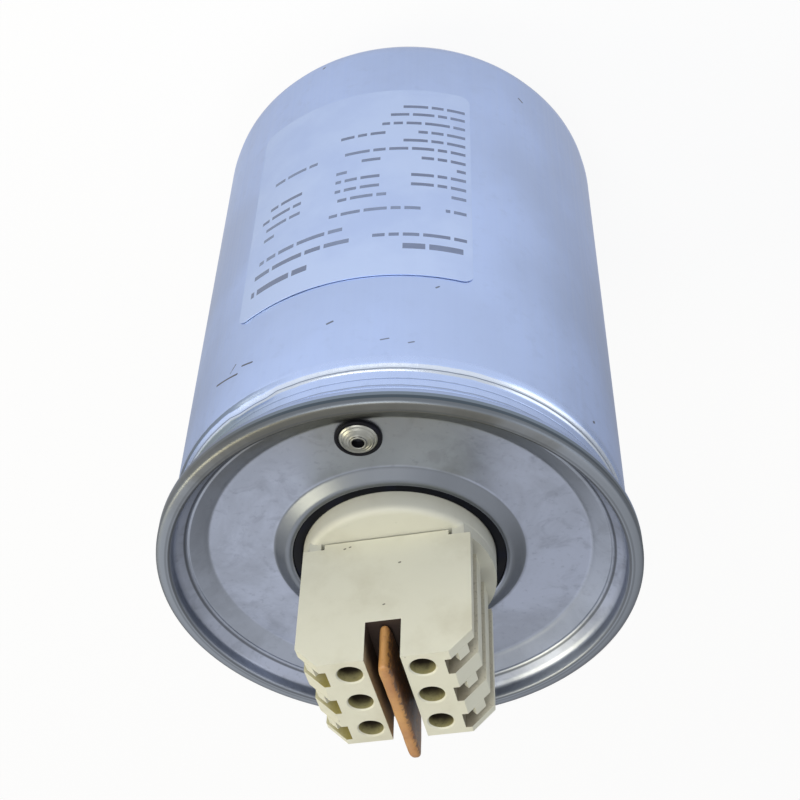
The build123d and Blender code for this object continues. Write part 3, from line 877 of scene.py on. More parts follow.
@dataclass(frozen=True)
class Rubber:
    """Black moulded rubber with a faint bloom."""

    name: str
    colour: Colour
    bloom: Colour
    roughness: float = 0.46

    def material(self) -> bpy.types.Material:
        """Build the rubber's nodes."""
        graph = Graph(self.name)
        cloud = graph.noise(160.0, 4.0, 0.6)
        skin = graph.noise(1500.0, 2.0, 0.5)
        share = graph.spread(cloud, 0.45, 0.8, 0.0, 0.6)
        graph.set(Base_Color=graph.mix(share, self.colour, self.bloom))
        graph.set(Roughness=graph.uneven(cloud, self.roughness, 0.06, 0.1))
        graph.set(Normal=graph.relief(skin, 0.01), Specular_IOR_Level=0.12)
        return graph.material


@dataclass(frozen=True)
class Lacquer:
    """Dipped coating over a resistor plate, thick and a little uneven, with painted shade over its
    right face.
    """

    name: str
    colour: Colour
    shade: Colour
    # Painted shade for the plate's right face: its colour, and where it lies in x.
    body: Colour
    right_shade_span: Point2 = (-1.5, -0.9)

    def material(self) -> bpy.types.Material:
        """Build the lacquer's nodes, with painted shade over the plate's right face."""
        graph = Graph(self.name)
        flow = graph.noise(120.0, 3.0, 0.5, distortion=0.4)
        fine = graph.noise(900.0, 3.0, 0.6)
        tone = graph.mix(graph.spread(flow, 0.35, 0.7), self.colour, self.shade)
        torn = graph.spread(fine, 0.3, 0.7, -0.0004, 0.0004)
        ragged = graph.math("ADD", graph.axis_share("X"), torn)
        # Painted shade over the plate's right face.
        start, end = self.right_shade_span
        tone = graph.mix(graph.spread(ragged, start * MM, end * MM, 0.85, 0.0), tone, self.body)
        tone = graph.mix(graph.spread(fine, 0.58, 0.75, 0.0, 0.3), tone, darker(self.shade, 0.5))
        graph.set(Base_Color=tone, IOR=1.52, Coat_Weight=0.25, Coat_Roughness=0.3)
        graph.set(Roughness=graph.spread(fine, 0.3, 0.7, 0.36, 0.5))
        coarse = graph.relief(flow, 0.12)
        graph.set(Normal=graph.relief(fine, 0.012, coarse))
        return graph.material


@dataclass(frozen=True)
class PlatedMetal:
    """Plated steel or tinned copper with a soft grain."""

    name: str
    colour: Colour
    tarnish: Colour
    roughness: float = 0.3
    tarnish_share: float = 0.4

    def material(self) -> bpy.types.Material:
        """Build the metal's nodes."""
        graph = Graph(self.name)
        cloud = graph.noise(180.0, 4.0, 0.6)
        fine = graph.noise(1200.0, 3.0, 0.6)
        share = graph.spread(cloud, 0.45, 0.75, 0.0, self.tarnish_share)
        graph.set(Metallic=1.0, Base_Color=graph.mix(share, self.colour, self.tarnish))
        graph.set(Roughness=graph.uneven(cloud, self.roughness, 0.0, 0.12))
        graph.set(Normal=graph.relief(fine, 0.006))
        return graph.material


@dataclass(frozen=True)
class Film:
    """Plastic film or paper, plain or wound in fine layers."""

    name: str
    colour: Colour
    second: Colour
    metallic: float = 0.0
    roughness: float = 0.4
    layers: float = 0.0

    def material(self) -> bpy.types.Material:
        """Build the film's nodes."""
        graph = Graph(self.name)
        cloud = graph.noise(45.0, 4.0, 0.55)
        fine = graph.noise(700.0, 3.0, 0.6)
        share = graph.spread(cloud, 0.38, 0.72)
        if self.layers > 0:
            ring = graph.math("SINE", graph.math("MULTIPLY", graph.reach(), self.layers))
            layer = graph.spread(ring, -1.0, 1.0)
            share = graph.math("MULTIPLY", layer, graph.spread(cloud, 0.2, 0.6))
        graph.set(Base_Color=graph.mix(share, self.colour, self.second), Metallic=self.metallic)
        graph.set(Roughness=graph.uneven(cloud, self.roughness, 0.04, 0.06))
        coarse = graph.relief(cloud, 0.05)
        graph.set(Normal=graph.relief(fine, 0.006, coarse))
        return graph.material


WALL_MARKS = (
    Mark(on_wall(58.1, 40.4, 132.4), on_wall(58.1, 31.9, 134.9), 0.40, 0.95),
    Mark(on_wall(58.1, 34.8, 132.4), on_wall(58.1, 33.0, 130.6), 0.30, 0.8),
    Mark(on_wall(58.1, 30.3, 133.1), on_wall(58.1, 26.8, 134.2), 0.36, 0.9),
    Mark(on_wall(58.1, 5.9, 131.3), on_wall(58.1, 4.6, 130.8), 0.40, 0.8),
    Mark(on_wall(58.1, -47.4, 19.2), on_wall(58.1, -46.2, 18.2), 0.40, 0.8),
    Mark(on_wall(58.1, 14.9, 8.3), on_wall(58.1, 14.5, 7.8), 0.45, 0.8),
    Mark(on_wall(58.1, -20.2, 119.8), on_wall(58.1, -20.9, 119.2), 0.30, 0.8),
    Mark(on_wall(58.1, -7.4, 139.8), on_wall(58.1, -9.2, 139.4), 0.28, 0.7),
    Mark(on_wall(58.1, -13.9, 140.9), on_wall(58.1, -15.1, 140.5), 0.28, 0.7),
    Mark(on_wall(58.1, -66.1, 142.2), on_wall(58.1, -66.6, 141.7), 0.45, 0.8),
)


# Painted light round the can's neck: painted highlights on its ridges, painted shade lines in its
# creases, painted reflections between them and a painted shadow under the rim, each with another
# strength at the left side.
NECK_PAINTED_LIGHT = (
    Band(149.2, 157.3, linear(116, 128, 114), 0.0, 0.72),
    Band(146.2, 147.3, linear(96, 106, 110), 0.0, 0.75),
    Band(147.5, 148.5, linear(226, 232, 234), 0.6, 0.15),
    Band(148.5, 148.78, linear(84, 88, 84), 0.75, 0.8),
    Band(148.78, 149.35, linear(204, 204, 186), 0.5, 0.4),
    Band(151.35, 151.6, linear(128, 140, 162), 0.6, 0.8),
    Band(153.75, 154.15, linear(112, 122, 142), 0.6, 0.85),
    Band(154.6, 156.6, linear(214, 216, 200), 0.0, 0.35),
    Band(157.35, 159.0, linear(104, 118, 134), 0.85, 0.7),
)


# Painted light on the lid's rim skirt, in bands up its height: a bluish painted reflection at its foot,
# painted shade in the middle and a greyer painted reflection at the top, weaker at the left side.
RIM_PAINTED_LIGHT = (
    Band(158.0, 160.5, linear(166, 183, 219), 0.95, 0.35),
    Band(160.5, 161.5, linear(122, 135, 150), 0.9, 0.25),
    Band(161.5, 162.5, linear(74, 86, 98), 0.9, 0.2),
    Band(162.5, 164.0, linear(108, 115, 124), 0.85, 0.2),
)


BLOCK_SPECKS = (
    Mark((10.1, -15.0, 165.4), (10.4, -15.0, 165.5), 0.28, 0.85),
    Mark((8.8, -15.0, 165.0), (9.1, -15.0, 165.1), 0.24, 0.85),
    Mark((-3.7, -15.0, 171.7), (-3.4, -15.0, 171.8), 0.30, 0.85),
    Mark((-0.2, -15.0, 183.9), (0.1, -15.0, 184.0), 0.26, 0.85),
)


class Finishes:
    """Every finish of the object, built once and shared."""

    def __init__(self) -> None:
        """Build the materials."""
        # The wall's blue is a painted sky reflection on plain aluminium.
        wall = linear(188, 207, 248)
        self.can = DrawnAluminium(
            "can_wall", wall, 0.38, marks=WALL_MARKS, bands=NECK_PAINTED_LIGHT
        ).material()
        # The lid is the same aluminium as the can, toned greyer as painted shade for the dimmer light
        # it reflects.
        self.lid = PressedSheet(
            "lid_sheet", linear(164, 171, 189), linear(144, 150, 164), linear(138, 144, 153),
            linear(112, 117, 124), linear(124, 124, 119), RIM_PAINTED_LIGHT,
        ).material()
        self.thread = PlatedMetal(
            "stud_thread", linear(172, 178, 190), linear(120, 122, 128)
        ).material()
        self.block = Moulding(
            "block_cream", linear(216, 215, 198), linear(176, 170, 146), marks=BLOCK_SPECKS
        ).material()
        # Painted shade in the driver holes, the slot and the grooves; the left grooves' amber tone is
        # painted light.
        self.driver_hole = Hollow(
            "driver_hole_painted_shade", linear(158, 152, 108), linear(46, 38, 28), Depth.DOWN, 199.4, 195.9
        ).material()
        self.slot_wall = Hollow(
            "slot_painted_shade", linear(168, 158, 134), linear(58, 46, 40), Depth.DOWN, 199.4, 192.5
        ).material()
        self.groove_left = Hollow(
            "groove_left_painted_light", linear(206, 202, 168), linear(150, 140, 82), Depth.INWARD, 20.4, 14.6
        ).material()
        self.groove_right = Hollow(
            "groove_right_painted_shade", linear(204, 200, 182), linear(128, 122, 106), Depth.INWARD, 20.4, 14.6
        ).material()
        self.base = Moulding(
            "base_cream", linear(200, 200, 188), linear(168, 164, 146), grime_share=0.3
        ).material()
        self.gasket = Rubber("gasket_black", linear(3, 5, 12), linear(12, 18, 40)).material()
        self.vent_ring = Rubber(
            "vent_ring_black", linear(10, 11, 18), linear(28, 31, 48)
        ).material()
        # The third colour is painted shade for the plate's right face.
        self.module = Lacquer(
            "module_orange", linear(196, 146, 84), linear(168, 116, 66), linear(74, 51, 46)
        ).material()
        self.vent = PlatedMetal(
            "vent_head", linear(150, 151, 146), linear(96, 95, 92), 0.24
        ).material()
        # The bore's near-black is painted shade in the rivet's hole.
        self.vent_bore = Rubber("vent_bore_painted_shade", linear(16, 16, 18), linear(30, 30, 32)).material()
        # The label's blue is the same painted sky reflection as the wall's.
        self.label = Film(
            "label_silver", linear(192, 210, 246), linear(184, 202, 240), 0.9, 0.42
        ).material()
        self.ink = Film(
            "label_ink", linear(104, 116, 146), linear(122, 136, 168), 0.0, 0.5
        ).material()
        self.cage = PlatedMetal(
            "clamp_steel", linear(186, 184, 176), linear(120, 112, 96), 0.34
        ).material()
        self.screw = PlatedMetal(
            "screw_steel", linear(176, 172, 160), linear(96, 86, 70), 0.3
        ).material()
        self.bar = PlatedMetal(
            "tinned_copper", linear(196, 192, 182), linear(172, 130, 96), 0.28
        ).material()
        self.seal = Rubber(
            "seal_compound", linear(112, 106, 92), linear(140, 134, 118), 0.6
        ).material()
        self.board = Film(
            "insulation_board", linear(206, 188, 150), linear(184, 162, 122), 0.0, 0.7
        ).material()
        self.winding = Film(
            "wound_film", linear(150, 152, 158), linear(206, 208, 212), 0.8, 0.36, 9000.0
        ).material()
        self.copper = PlatedMetal(
            "tinned_lead", linear(206, 160, 120), linear(150, 96, 66), 0.32
        ).material()


@dataclass
class Piece:
    """What every sub-assembly does with a finished mesh."""

    finishes: Finishes

    def dress(
        self,
        piece: Shape,
        finish: bpy.types.Material,
        slot: str,
        nodes: Sequence[str] = (),
    ) -> Shape:
        """Give a piece its finish, body and the nodes it stands for.

        Args:
            piece: The finished mesh.
            finish: Its material.
            slot: Not used.
            nodes: CAD nodes that it replaces.

        Returns:
            The piece.
        """
        piece.data.materials.clear()
        piece.data.materials.append(finish)
        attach(piece, BODY)
        if nodes:
            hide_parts(*nodes)
        log.info("%s: %d faces", piece.name, len(piece.data.polygons))
        return piece

    def line(
        self,
        piece: Shape,
        finish: bpy.types.Material,
        test: Callable[[Vector, Vector], bool],
    ) -> None:
        """Give some of a dressed piece's faces another finish.

        Args:
            piece: The dressed mesh.
            finish: The other material.
            test: Says whether a face is taken, from its middle in millimetres and its normal.
        """
        piece.data.materials.append(finish)
        index = len(piece.data.materials) - 1
        for face in piece.data.polygons:
            if test(face.center / MM, face.normal):
                face.material_index = index


@dataclass
class Can(Piece):
    """The drawn can with its pressed neck, small dent and recess for the stud's collar."""

    radius: float = 58.1
    wall: float = 1.0
    floor: float = 2.0
    base_round: float = 4.0
    neck_z: float = 146.0
    step_radius: float = 57.1
    neck_radius: float = 56.6
    flare_z: float = 155.0
    lip_inner: float = 57.7
    lip_outer: float = 58.4
    hook_inner: float = 59.3
    hook_outer: float = 60.0
    lip_z: float = 163.0
    hook_end_z: float = 159.8
    sheet: float = 0.7
    collar_radius: float = 7.0
    collar_height: float = 1.2
    dent_angle: float = 26.0
    dent_spread: float = 7.5
    dent_z: float = 148.3
    dent_height: float = 1.7
    dent_depth: float = 0.55

    def build(self) -> None:
        """Model the can and put it in the frame."""
        shell = self.shell()
        self.dent(shell)
        Bench.smooth(shell, 40.0)
        self.dress(shell, self.finishes.can, "can_metal", ("can",))

    def shell(self) -> Shape:
        """Spin the can's wall, inside and out.

        Returns:
            The closed shell.
        """
        outside = [
            (0.0, self.collar_height),
            (self.collar_radius, self.collar_height),
            (self.collar_radius, 0.0, 0.3),
            (self.radius, 0.0, 2.3 * self.base_round),
            (self.radius, self.neck_z - 3.0),
            (self.radius, self.neck_z, 1.2),
            (self.radius - 0.33, self.neck_z + 1.1, 0.5),
            (self.step_radius, self.neck_z + 2.2, 0.25),
            (self.step_radius, self.neck_z + 2.85, 0.3),
            (self.neck_radius, self.neck_z + 3.5, 0.35),
            (self.neck_radius, self.neck_z + 5.2, 0.1),
            (self.neck_radius - 0.16, self.neck_z + 5.5, 0.2),
            (self.neck_radius, self.neck_z + 5.8, 0.1),
            (self.neck_radius, self.neck_z + 8.3, 0.1),
            (self.neck_radius + 0.2, self.neck_z + 8.7, 0.2),
            (self.neck_radius, self.flare_z + 0.1, 0.1),
            (self.lip_outer, self.flare_z + 3.0, 0.8),
            (self.lip_outer, self.lip_z - self.sheet),
            (self.hook_inner, self.lip_z - self.sheet),
            (self.hook_inner, self.hook_end_z),
            (self.hook_outer, self.hook_end_z),
            (self.hook_outer, self.lip_z),
            (self.lip_inner, self.lip_z),
            (self.lip_inner, self.flare_z + 3.0),
            (self.neck_radius - self.wall, self.flare_z),
            (self.neck_radius - self.wall, self.neck_z + 3.5),
            (self.step_radius - self.wall, self.neck_z + 2.2),
            (self.radius - self.wall, self.neck_z),
            (self.radius - self.wall, self.floor, 2.3 * (self.base_round - self.wall)),
            (0.0, self.floor),
        ]
        return Bench.turned("can_shell", Bench.rounded(outside, 5), closed=False, steps=216)

    def dent(self, shell: Shape) -> None:
        """Push the neck's ridge flat over a short stretch.

        Args:
            shell: The can, in place.
        """
        for point in shell.data.vertices:
            place = point.co / MM
            reach = math.hypot(place.x, place.y)
            turn = math.degrees(math.atan2(place.x, -place.y)) - self.dent_angle
            rise = (place.z - self.dent_z) / self.dent_height
            side = abs(turn) / self.dent_spread
            if reach < self.neck_radius - 0.4 or abs(rise) > 1 or side > 1:
                continue
            depth = self.dent_depth * (1 - rise**2) * min(1.0, 3.0 * (1 - side))
            point.co.x *= 1 - depth / reach
            point.co.y *= 1 - depth / reach


@dataclass
class Stud(Piece):
    """The threaded stud in the middle of the can's base, with its flush collar."""

    radius: float = 6.0
    length: float = 16.0
    root: float = 5.1
    pitch: float = 1.75
    run_out: float = 1.8
    neck: float = 5.3
    collar_radius: float = 7.0
    collar_height: float = 1.2

    def build(self) -> None:
        """Model the stud and put it in the frame."""
        stud = self.thread()
        collar = [
            (0.0, -self.run_out - 1.0),
            (self.root - 0.2, -self.run_out - 1.0),
            (self.neck, -self.run_out + 0.2, 0.3),
            (self.neck, -0.3, 0.3),
            (self.neck + 0.5, 0.0, 0.2),
            (self.collar_radius, 0.0, 0.3),
            (self.collar_radius, self.collar_height),
            (0.0, self.collar_height),
        ]
        root = Bench.turned("collar", Bench.rounded(collar, 4), closed=False, steps=72)
        Bench.carve(stud, root, Carve.ON)
        Bench.heal(stud)
        Bench.smooth(stud, 30.0)
        self.dress(stud, self.finishes.thread, "can_metal", ("fixing_stud",))

    def thread(self) -> Shape:
        """Screw one tooth up the stud, trim both ends flat and close them.

        Returns:
            The thread with its solid core.
        """
        pitch = self.pitch
        start = -self.length - pitch
        root = self.root
        tooth = [
            (root, start),
            (root + 0.08, start + 0.10 * pitch),
            (self.radius, start + 0.45 * pitch),
            (self.radius, start + 0.57 * pitch),
            (root + 0.08, start + 0.92 * pitch),
            (root, start + pitch),
        ]
        piece = Bench.outline("threaded_stud", tooth, closed=False)
        turns = int((self.length + 3 * pitch) / pitch) + 1
        Bench.screw(piece, pitch, turns, 40)
        Bench.edit(piece)
        bpy.ops.mesh.remove_doubles(threshold=0.002 * MM)
        for height, outer in ((-self.length + 0.02, -1.0), (-self.run_out, 1.0)):
            bpy.ops.mesh.select_all(action="SELECT")
            bpy.ops.mesh.bisect(
                plane_co=(0, 0, height * MM),
                plane_no=(0, 0, outer),
                clear_outer=True,
                use_fill=True,
                threshold=0.001 * MM,
            )
        Bench.close()
        Bench.heal(piece)
        tip = Bench.turned(
            "tip_limit",
            [
                (0.0, -self.length - 1.0),
                (self.root - 1.2, -self.length - 1.0),
                (self.root - 0.1, -self.length),
                (self.radius + 0.6, -self.length + 1.6),
                (self.radius + 0.6, 1.0),
                (0.0, 1.0),
            ],
            closed=False,
            steps=64,
        )
        Bench.carve(piece, tip, Carve.COMMON)
        Bench.heal(piece)
        return piece


@dataclass
class Lid(Piece):
    """The dished lid with its bead, cone and rolled rim."""

    top_z: float = 164.0
    rim_radius: float = 60.8
    rim_height: float = 5.0
    seam_inner: float = 56.9
    sheet: float = 0.7
    plate_sheet: float = 0.8
    ring_z: float = 160.2
    cone_radius: float = 53.6
    cone_z: float = 158.4
    plate_radius: float = 48.5
    plate_z: float = 155.9
    bead_foot: float = 31.9
    bead_top: float = 28.4
    bead_z: float = 158.1
    hole_radius: float = 27.05
    hole_z: float = 157.7
    hook_inner: float = 58.5
    hook_outer: float = 59.2
    hook_top_z: float = 162.2
    seam_floor_z: float = 159.7

    def build(self) -> None:
        """Model the lid and put it in the frame."""
        low = self.top_z - self.rim_height
        under = self.plate_z - self.plate_sheet
        crest_under = self.top_z - self.sheet
        points = [
            (self.hole_radius, self.hole_z, 0.2),
            (self.bead_top - 0.35, self.bead_z - 0.03, 0.5),
            (self.bead_top + 0.5, self.bead_z - 0.22, 0.5),
            (self.bead_foot - 0.2, self.plate_z + 0.16, 0.7),
            (self.bead_foot + 0.5, self.plate_z, 0.3),
            (self.plate_radius, self.plate_z, 1.1),
            (self.plate_radius + 0.9, self.plate_z + 0.55, 0.5),
            (self.cone_radius - 0.5, self.cone_z - 0.18, 0.2),
            (self.cone_radius, self.cone_z - 0.28, 0.2),
            (self.cone_radius + 0.45, self.cone_z + 0.16, 0.2),
            (self.seam_inner - 0.75, self.ring_z - 0.2, 0.8),
            (self.seam_inner, self.ring_z + 0.7, 0.5),
            (self.seam_inner, self.top_z, 1.25),
            (self.rim_radius, self.top_z, 1.5),
            (self.rim_radius, low, 0.9),
            (self.hook_inner, low, 0.3),
            (self.hook_inner, self.hook_top_z),
            (self.hook_outer, self.hook_top_z),
            (self.hook_outer, self.seam_floor_z),
            (self.rim_radius - self.sheet, self.seam_floor_z),
            (self.rim_radius - self.sheet, crest_under, 0.4),
            (self.seam_inner + self.sheet, crest_under, 0.4),
            (self.seam_inner + self.sheet, self.ring_z),
            (self.seam_inner, self.ring_z - self.plate_sheet),
            (self.cone_radius, self.cone_z - self.plate_sheet - 0.25),
            (self.plate_radius, under),
            (self.bead_foot, under),
            (self.bead_top, self.bead_z - self.plate_sheet),
            (self.hole_radius, self.hole_z - self.plate_sheet),
        ]
        lid = Bench.turned("lid_pressing", Bench.rounded(points, 5), steps=216)
        Bench.smooth(lid, 40.0)
        self.dress(lid, self.finishes.lid, "lid_metal", ("lid",))


@dataclass
class Terminals(Piece):
    """The gasket, round base, terminal block and discharge module."""

    base_radius: float = 24.4
    base_top: float = 163.0
    base_round: float = 1.1
    flange_radius: float = 33.6
    flange_top: float = 154.1
    flange_low: float = 150.1
    hole_radius: float = 27.05
    gasket_gap: float = 0.05
    gasket_top: float = 157.4
    bead_foot: float = 31.9
    bead_top: float = 28.4
    bead_under: float = 157.3
    lip_low: float = 156.9
    half_width: float = 20.75
    front: float = -15.0
    rear: float = 16.9
    shoulder: float = 164.9
    top: float = 199.5
    chamfer_x: float = 5.4
    chamfer_z: float = 5.3
    foot: float = 15.4
    foot_gap: float = 0.9
    foot_shadow: float = 0.4
    spigot: float = 14.0
    spigot_front: float = -14.7
    spigot_rear: float = 16.1
    spigot_low: float = 158.0
    fit: float = 0.1
    slot: float = 8.5
    slot_floor: float = 188.7
    groove_ys: tuple[float, ...] = (-9.3, 1.5, 12.3)
    groove_width: float = 5.4
    groove_floor: float = 13.85
    phase_ys: tuple[float, ...] = (-10.1, 0.7, 11.5)
    driver_x: float = 8.5
    driver_radius: float = 3.0
    driver_lead: float = 0.35
    chamber_x: float = 12.6
    chamber_y: float = 3.7
    chamber_top: float = 186.8
    window_low: float = 177.6
    window_high: float = 186.2
    tongue_start: float = 0.30
    tongue_end: float = 0.71
    tongue_reach: float = 3.0
    tongue_thick: float = 1.4
    slit: Point2 = (0.55, 2.15)
    stem: Point2 = (4.15, 0.9)
    stem_span: Point2 = (140.0, 170.0)
    foot_inset: float = 1.2
    soft_edge: float = 0.22
    module_half: float = 1.65
    module_front: float = -14.0
    module_rear: float = 25.7
    module_low: float = 189.0
    module_top: float = 201.5
    module_tail: float = 4.2
    module_corner: float = 1.0
    module_edge: float = 1.2
    tail_taper: float = 5.5
    nose_taper: float = 4.0
    wave: float = 0.16

    def build(self) -> None:
        """Model the four pieces and put them in the frame."""
        self.dress(self.gasket(), self.finishes.gasket, "gasket_rubber", ("terminal_gasket",))
        self.dress(self.base(), self.finishes.base, "base_plastic", ("terminal_base",))
        block = self.dress(self.block(), self.finishes.block, "block_plastic", ("terminal_block",))
        # The grooves with their windows and chambers, the slot and the driver holes get painted shade.
        self.line(block, self.finishes.groove_right, self.in_groove)
        self.line(block, self.finishes.groove_left, self.in_left_groove)
        self.line(block, self.finishes.slot_wall, self.in_slot)
        self.line(block, self.finishes.driver_hole, self.in_driver_hole)
        self.dress(self.module(), self.finishes.module, "module_lacquer", ("discharge_module",))

    def in_groove(self, middle: Vector, normal: Vector) -> bool:
        """Take the walls of the side grooves, their windows and the clamp chambers."""
        if middle.z > self.top - 0.4 or middle.z < self.shoulder - 0.5:
            return False
        in_block = self.front + 0.8 < middle.y < self.rear - 0.8
        behind_face = 5.2 < abs(middle.x) < self.half_width - 0.4
        upward = normal.z > 0.4
        return in_block and behind_face and not upward

    def in_left_groove(self, middle: Vector, normal: Vector) -> bool:
        """Take the walls and floors of the left side's grooves."""
        return middle.x > 0 and self.in_groove(middle, normal)

    def in_slot(self, middle: Vector, normal: Vector) -> bool:
        """Take the slot's two walls and its floor."""
        half = self.slot / 2
        inside = abs(middle.x) < half + 0.06 and self.slot_floor - 0.1 < middle.z < self.top - 0.3
        return inside and abs(normal.y) < 0.5

    def in_driver_hole(self, middle: Vector, normal: Vector) -> bool:
        """Take the walls of the six screwdriver holes."""
        if not self.chamber_top - 0.1 < middle.z < self.top - 0.3 or abs(normal.z) > 0.5:
            return False
        return any(
            math.hypot(abs(middle.x) - self.driver_x, middle.y - y) < self.driver_radius + 0.15
            for y in self.phase_ys
        )

    def row(
        self, name: str, across: Point2, half: float, up: Point2, middles: Sequence[float]
    ) -> Shape:
        """Make a row of equal boxes along the block, joined into one object.

        Args:
            name: The row's name.
            across: Where each box starts and ends in x, in either order.
            half: Half of its length in y.
            up: Its lower and upper face.
            middles: The middle of each box in y.

        Returns:
            The joined boxes.
        """
        left, right = sorted(across)
        return Bench.join(
            name,
            [
                Bench.box(f"{name}_{y}", (left, y - half, up[0]), (right, y + half, up[1]))
                for y in middles
            ],
        )

    def gasket(self) -> Shape:
        """Spin the gasket, whose lip shows as a black ring round the base."""
        inner = self.base_radius + self.gasket_gap
        lip = self.hole_radius - self.gasket_gap
        points = [
            (inner, self.flange_top),
            (self.flange_radius, self.flange_top),
            (self.flange_radius, self.flange_top + 1.0),
            (self.bead_foot, self.flange_top + 1.0),
            (self.bead_top, self.bead_under),
            (self.hole_radius, self.lip_low),
            (lip, self.lip_low),
            (lip, self.gasket_top, 0.9),
            (inner, self.gasket_top, 0.7),
        ]
        piece = Bench.turned("gasket_ring", Bench.rounded(points, 5), steps=160)
        Bench.smooth(piece, 40.0)
        return piece

    def soften(self, piece: Shape, width: float) -> None:
        """Clean up after carving, then round the sharp edges.

        Args:
            piece: The carved mesh.
            width: How wide each rounding is, in millimetres.
        """
        Bench.edit(piece)
        bpy.ops.mesh.remove_doubles(threshold=0.003 * MM)
        bpy.ops.mesh.dissolve_limited(angle_limit=math.radians(0.6))
        Bench.close()
        Bench.apply(
            piece,
            "BEVEL",
            width=width * MM,
            segments=2,
            limit_method="ANGLE",
            angle_limit=math.radians(32),
            use_clamp_overlap=True,
            miter_outer="MITER_ARC",
        )
        Bench.heal(piece, 0.0005)
        Bench.smooth(piece, 34.0)
        Bench.apply(piece, "WEIGHTED_NORMAL", weight=60, keep_sharp=True)

    def base(self) -> Shape:
        """Model the round base with its lugs, pocket and stem slots."""
        points = [
            (0.0, self.flange_low),
            (self.flange_radius, self.flange_low, 0.5),
            (self.flange_radius, self.flange_top),
            (self.base_radius, self.flange_top),
            (self.base_radius, self.base_top, 1.8 * self.base_round),
            (0.0, self.base_top),
        ]
        piece = Bench.turned("base_moulding", Bench.rounded(points, 6), closed=False, steps=128)
        lugs = Bench.disc(
            "lugs", self.base_radius - 0.05, self.base_top - 1.0, self.shoulder, sides=128
        )
        Bench.carve(
            lugs,
            Bench.box("span", (-60.0, self.front, 100.0), (60.0, self.rear, 200.0)),
            Carve.COMMON,
        )
        gap = self.foot + self.foot_gap
        Bench.carve(lugs, Bench.box("between", (-gap, -60.0, 100.0), (gap, 60.0, 200.0)))
        Bench.carve(piece, lugs, Carve.ON)
        pocket = Bench.box(
            "pocket",
            (-self.spigot - self.fit, self.spigot_front - self.fit, self.spigot_low - self.fit),
            (self.spigot + self.fit, self.spigot_rear + self.fit, self.base_top + 5.0),
        )
        Bench.carve(piece, pocket)
        stem_x, stem_y = self.stem
        stems = self.row("stems", (-stem_x, stem_x), stem_y, self.stem_span, self.phase_ys)
        Bench.carve(piece, stems)
        self.soften(piece, self.soft_edge)
        return piece

    def along_chamfer(self, share: float, depth: float, side: Side) -> Point2:
        """Find a point under the block's chamfer.

        Args:
            share: Fraction of the chamfer's length from the end face.
            depth: Distance under the chamfer.
            side: Which side of the block.

        Returns:
            The point as x and z.
        """
        run = math.hypot(self.chamfer_x, self.chamfer_z)
        x = self.half_width - self.chamfer_x * (1 - share) - self.chamfer_z / run * depth
        z = self.top - self.chamfer_z * share - self.chamfer_x / run * depth
        return side.value * x, z

    def tongue(self, groove_y: float, side: Side) -> Shape:
        """Model one tongue, flush with the chamfer and rooted in the rib before its groove.

        Args:
            groove_y: The groove's middle.
            side: Which side of the block.

        Returns:
            The tongue as a solid.
        """
        rib = groove_y - self.groove_width / 2
        corners = [
            self.along_chamfer(self.tongue_start, 0.0, side),
            self.along_chamfer(self.tongue_end, 0.0, side),
            self.along_chamfer(self.tongue_end, self.tongue_thick, side),
            self.along_chamfer(self.tongue_start, self.tongue_thick, side),
        ]
        piece = Bench.box("tongue", (0.0, rib - 0.3, 0.0), (1.0, rib + self.tongue_reach, 1.0))
        targets = {(0, 1): corners[0], (1, 1): corners[1], (1, 0): corners[2], (0, 0): corners[3]}
        for point in piece.data.vertices:
            x, z = targets[round(point.co.x / MM), round(point.co.z / MM)]
            point.co.x = x * MM
            point.co.z = z * MM
        Bench.heal(piece)
        return piece

    def block(self) -> Shape:
        """Model the six-way terminal block from one solid."""
        piece = Bench.box(
            "block_moulding",
            (-self.half_width, self.front, self.shoulder),
            (self.half_width, self.rear, self.top),
        )
        for side in Side:
            Bench.edit(piece)
            corner = ((self.half_width - self.chamfer_x) * side.value * MM, 0.0, self.top * MM)
            bpy.ops.mesh.bisect(
                plane_co=corner,
                plane_no=(self.chamfer_z * side.value, 0.0, self.chamfer_x),
                clear_outer=True,
                use_fill=True,
            )
            Bench.close()
        foot = Bench.box(
            "foot", (-self.foot, self.front, self.base_top), (self.foot, self.rear, self.shoulder + 1.0)
        )
        Bench.carve(piece, foot, Carve.ON)
        spigot = Bench.box(
            "spigot",
            (-self.spigot, self.spigot_front, self.spigot_low),
            (self.spigot, self.spigot_rear, self.base_top + 1.0),
        )
        Bench.carve(piece, spigot, Carve.ON)
        for front, back in (
            (self.front - 1, self.front + self.foot_inset),
            (self.rear - self.foot_inset, self.rear + 1),
        ):
            low = (-60.0, front, self.base_top - 0.2)
            high = (60.0, back, self.base_top + self.foot_shadow)
            Bench.carve(piece, Bench.box("foot_gap", low, high))
        half_slot = self.slot / 2
        slot = Bench.box(
            "slot",
            (-half_slot, self.front - 5, self.slot_floor),
            (half_slot, self.rear + 5, self.top + 5),
        )
        Bench.carve(piece, slot)
        half = self.groove_width / 2
        upright = (self.shoulder, self.top + 5)
        opening = (self.window_low, self.window_high)
        for side in Side:
            reach = (side.value * self.groove_floor, side.value * (self.half_width + 5))
            Bench.carve(piece, self.row("grooves", reach, half, upright, self.groove_ys))
            tongues = [self.tongue(y, side) for y in self.groove_ys]
            Bench.carve(piece, Bench.join("tongues", tongues), Carve.ON)
            depth = (side.value * (self.chamber_x - 1), side.value * (self.groove_floor + 1))
            Bench.carve(piece, self.row("windows", depth, half, opening, self.groove_ys))
        across = (-self.chamber_x, self.chamber_x)
        chamber = (self.spigot_low - 5, self.chamber_top)
        Bench.carve(piece, self.row("chambers", across, self.chamber_y, chamber, self.phase_ys))
        low = self.chamber_top - 1
        drivers = [
            self.driver_hole((side.value * self.driver_x, y), low)
            for side in Side
            for y in self.phase_ys
        ]
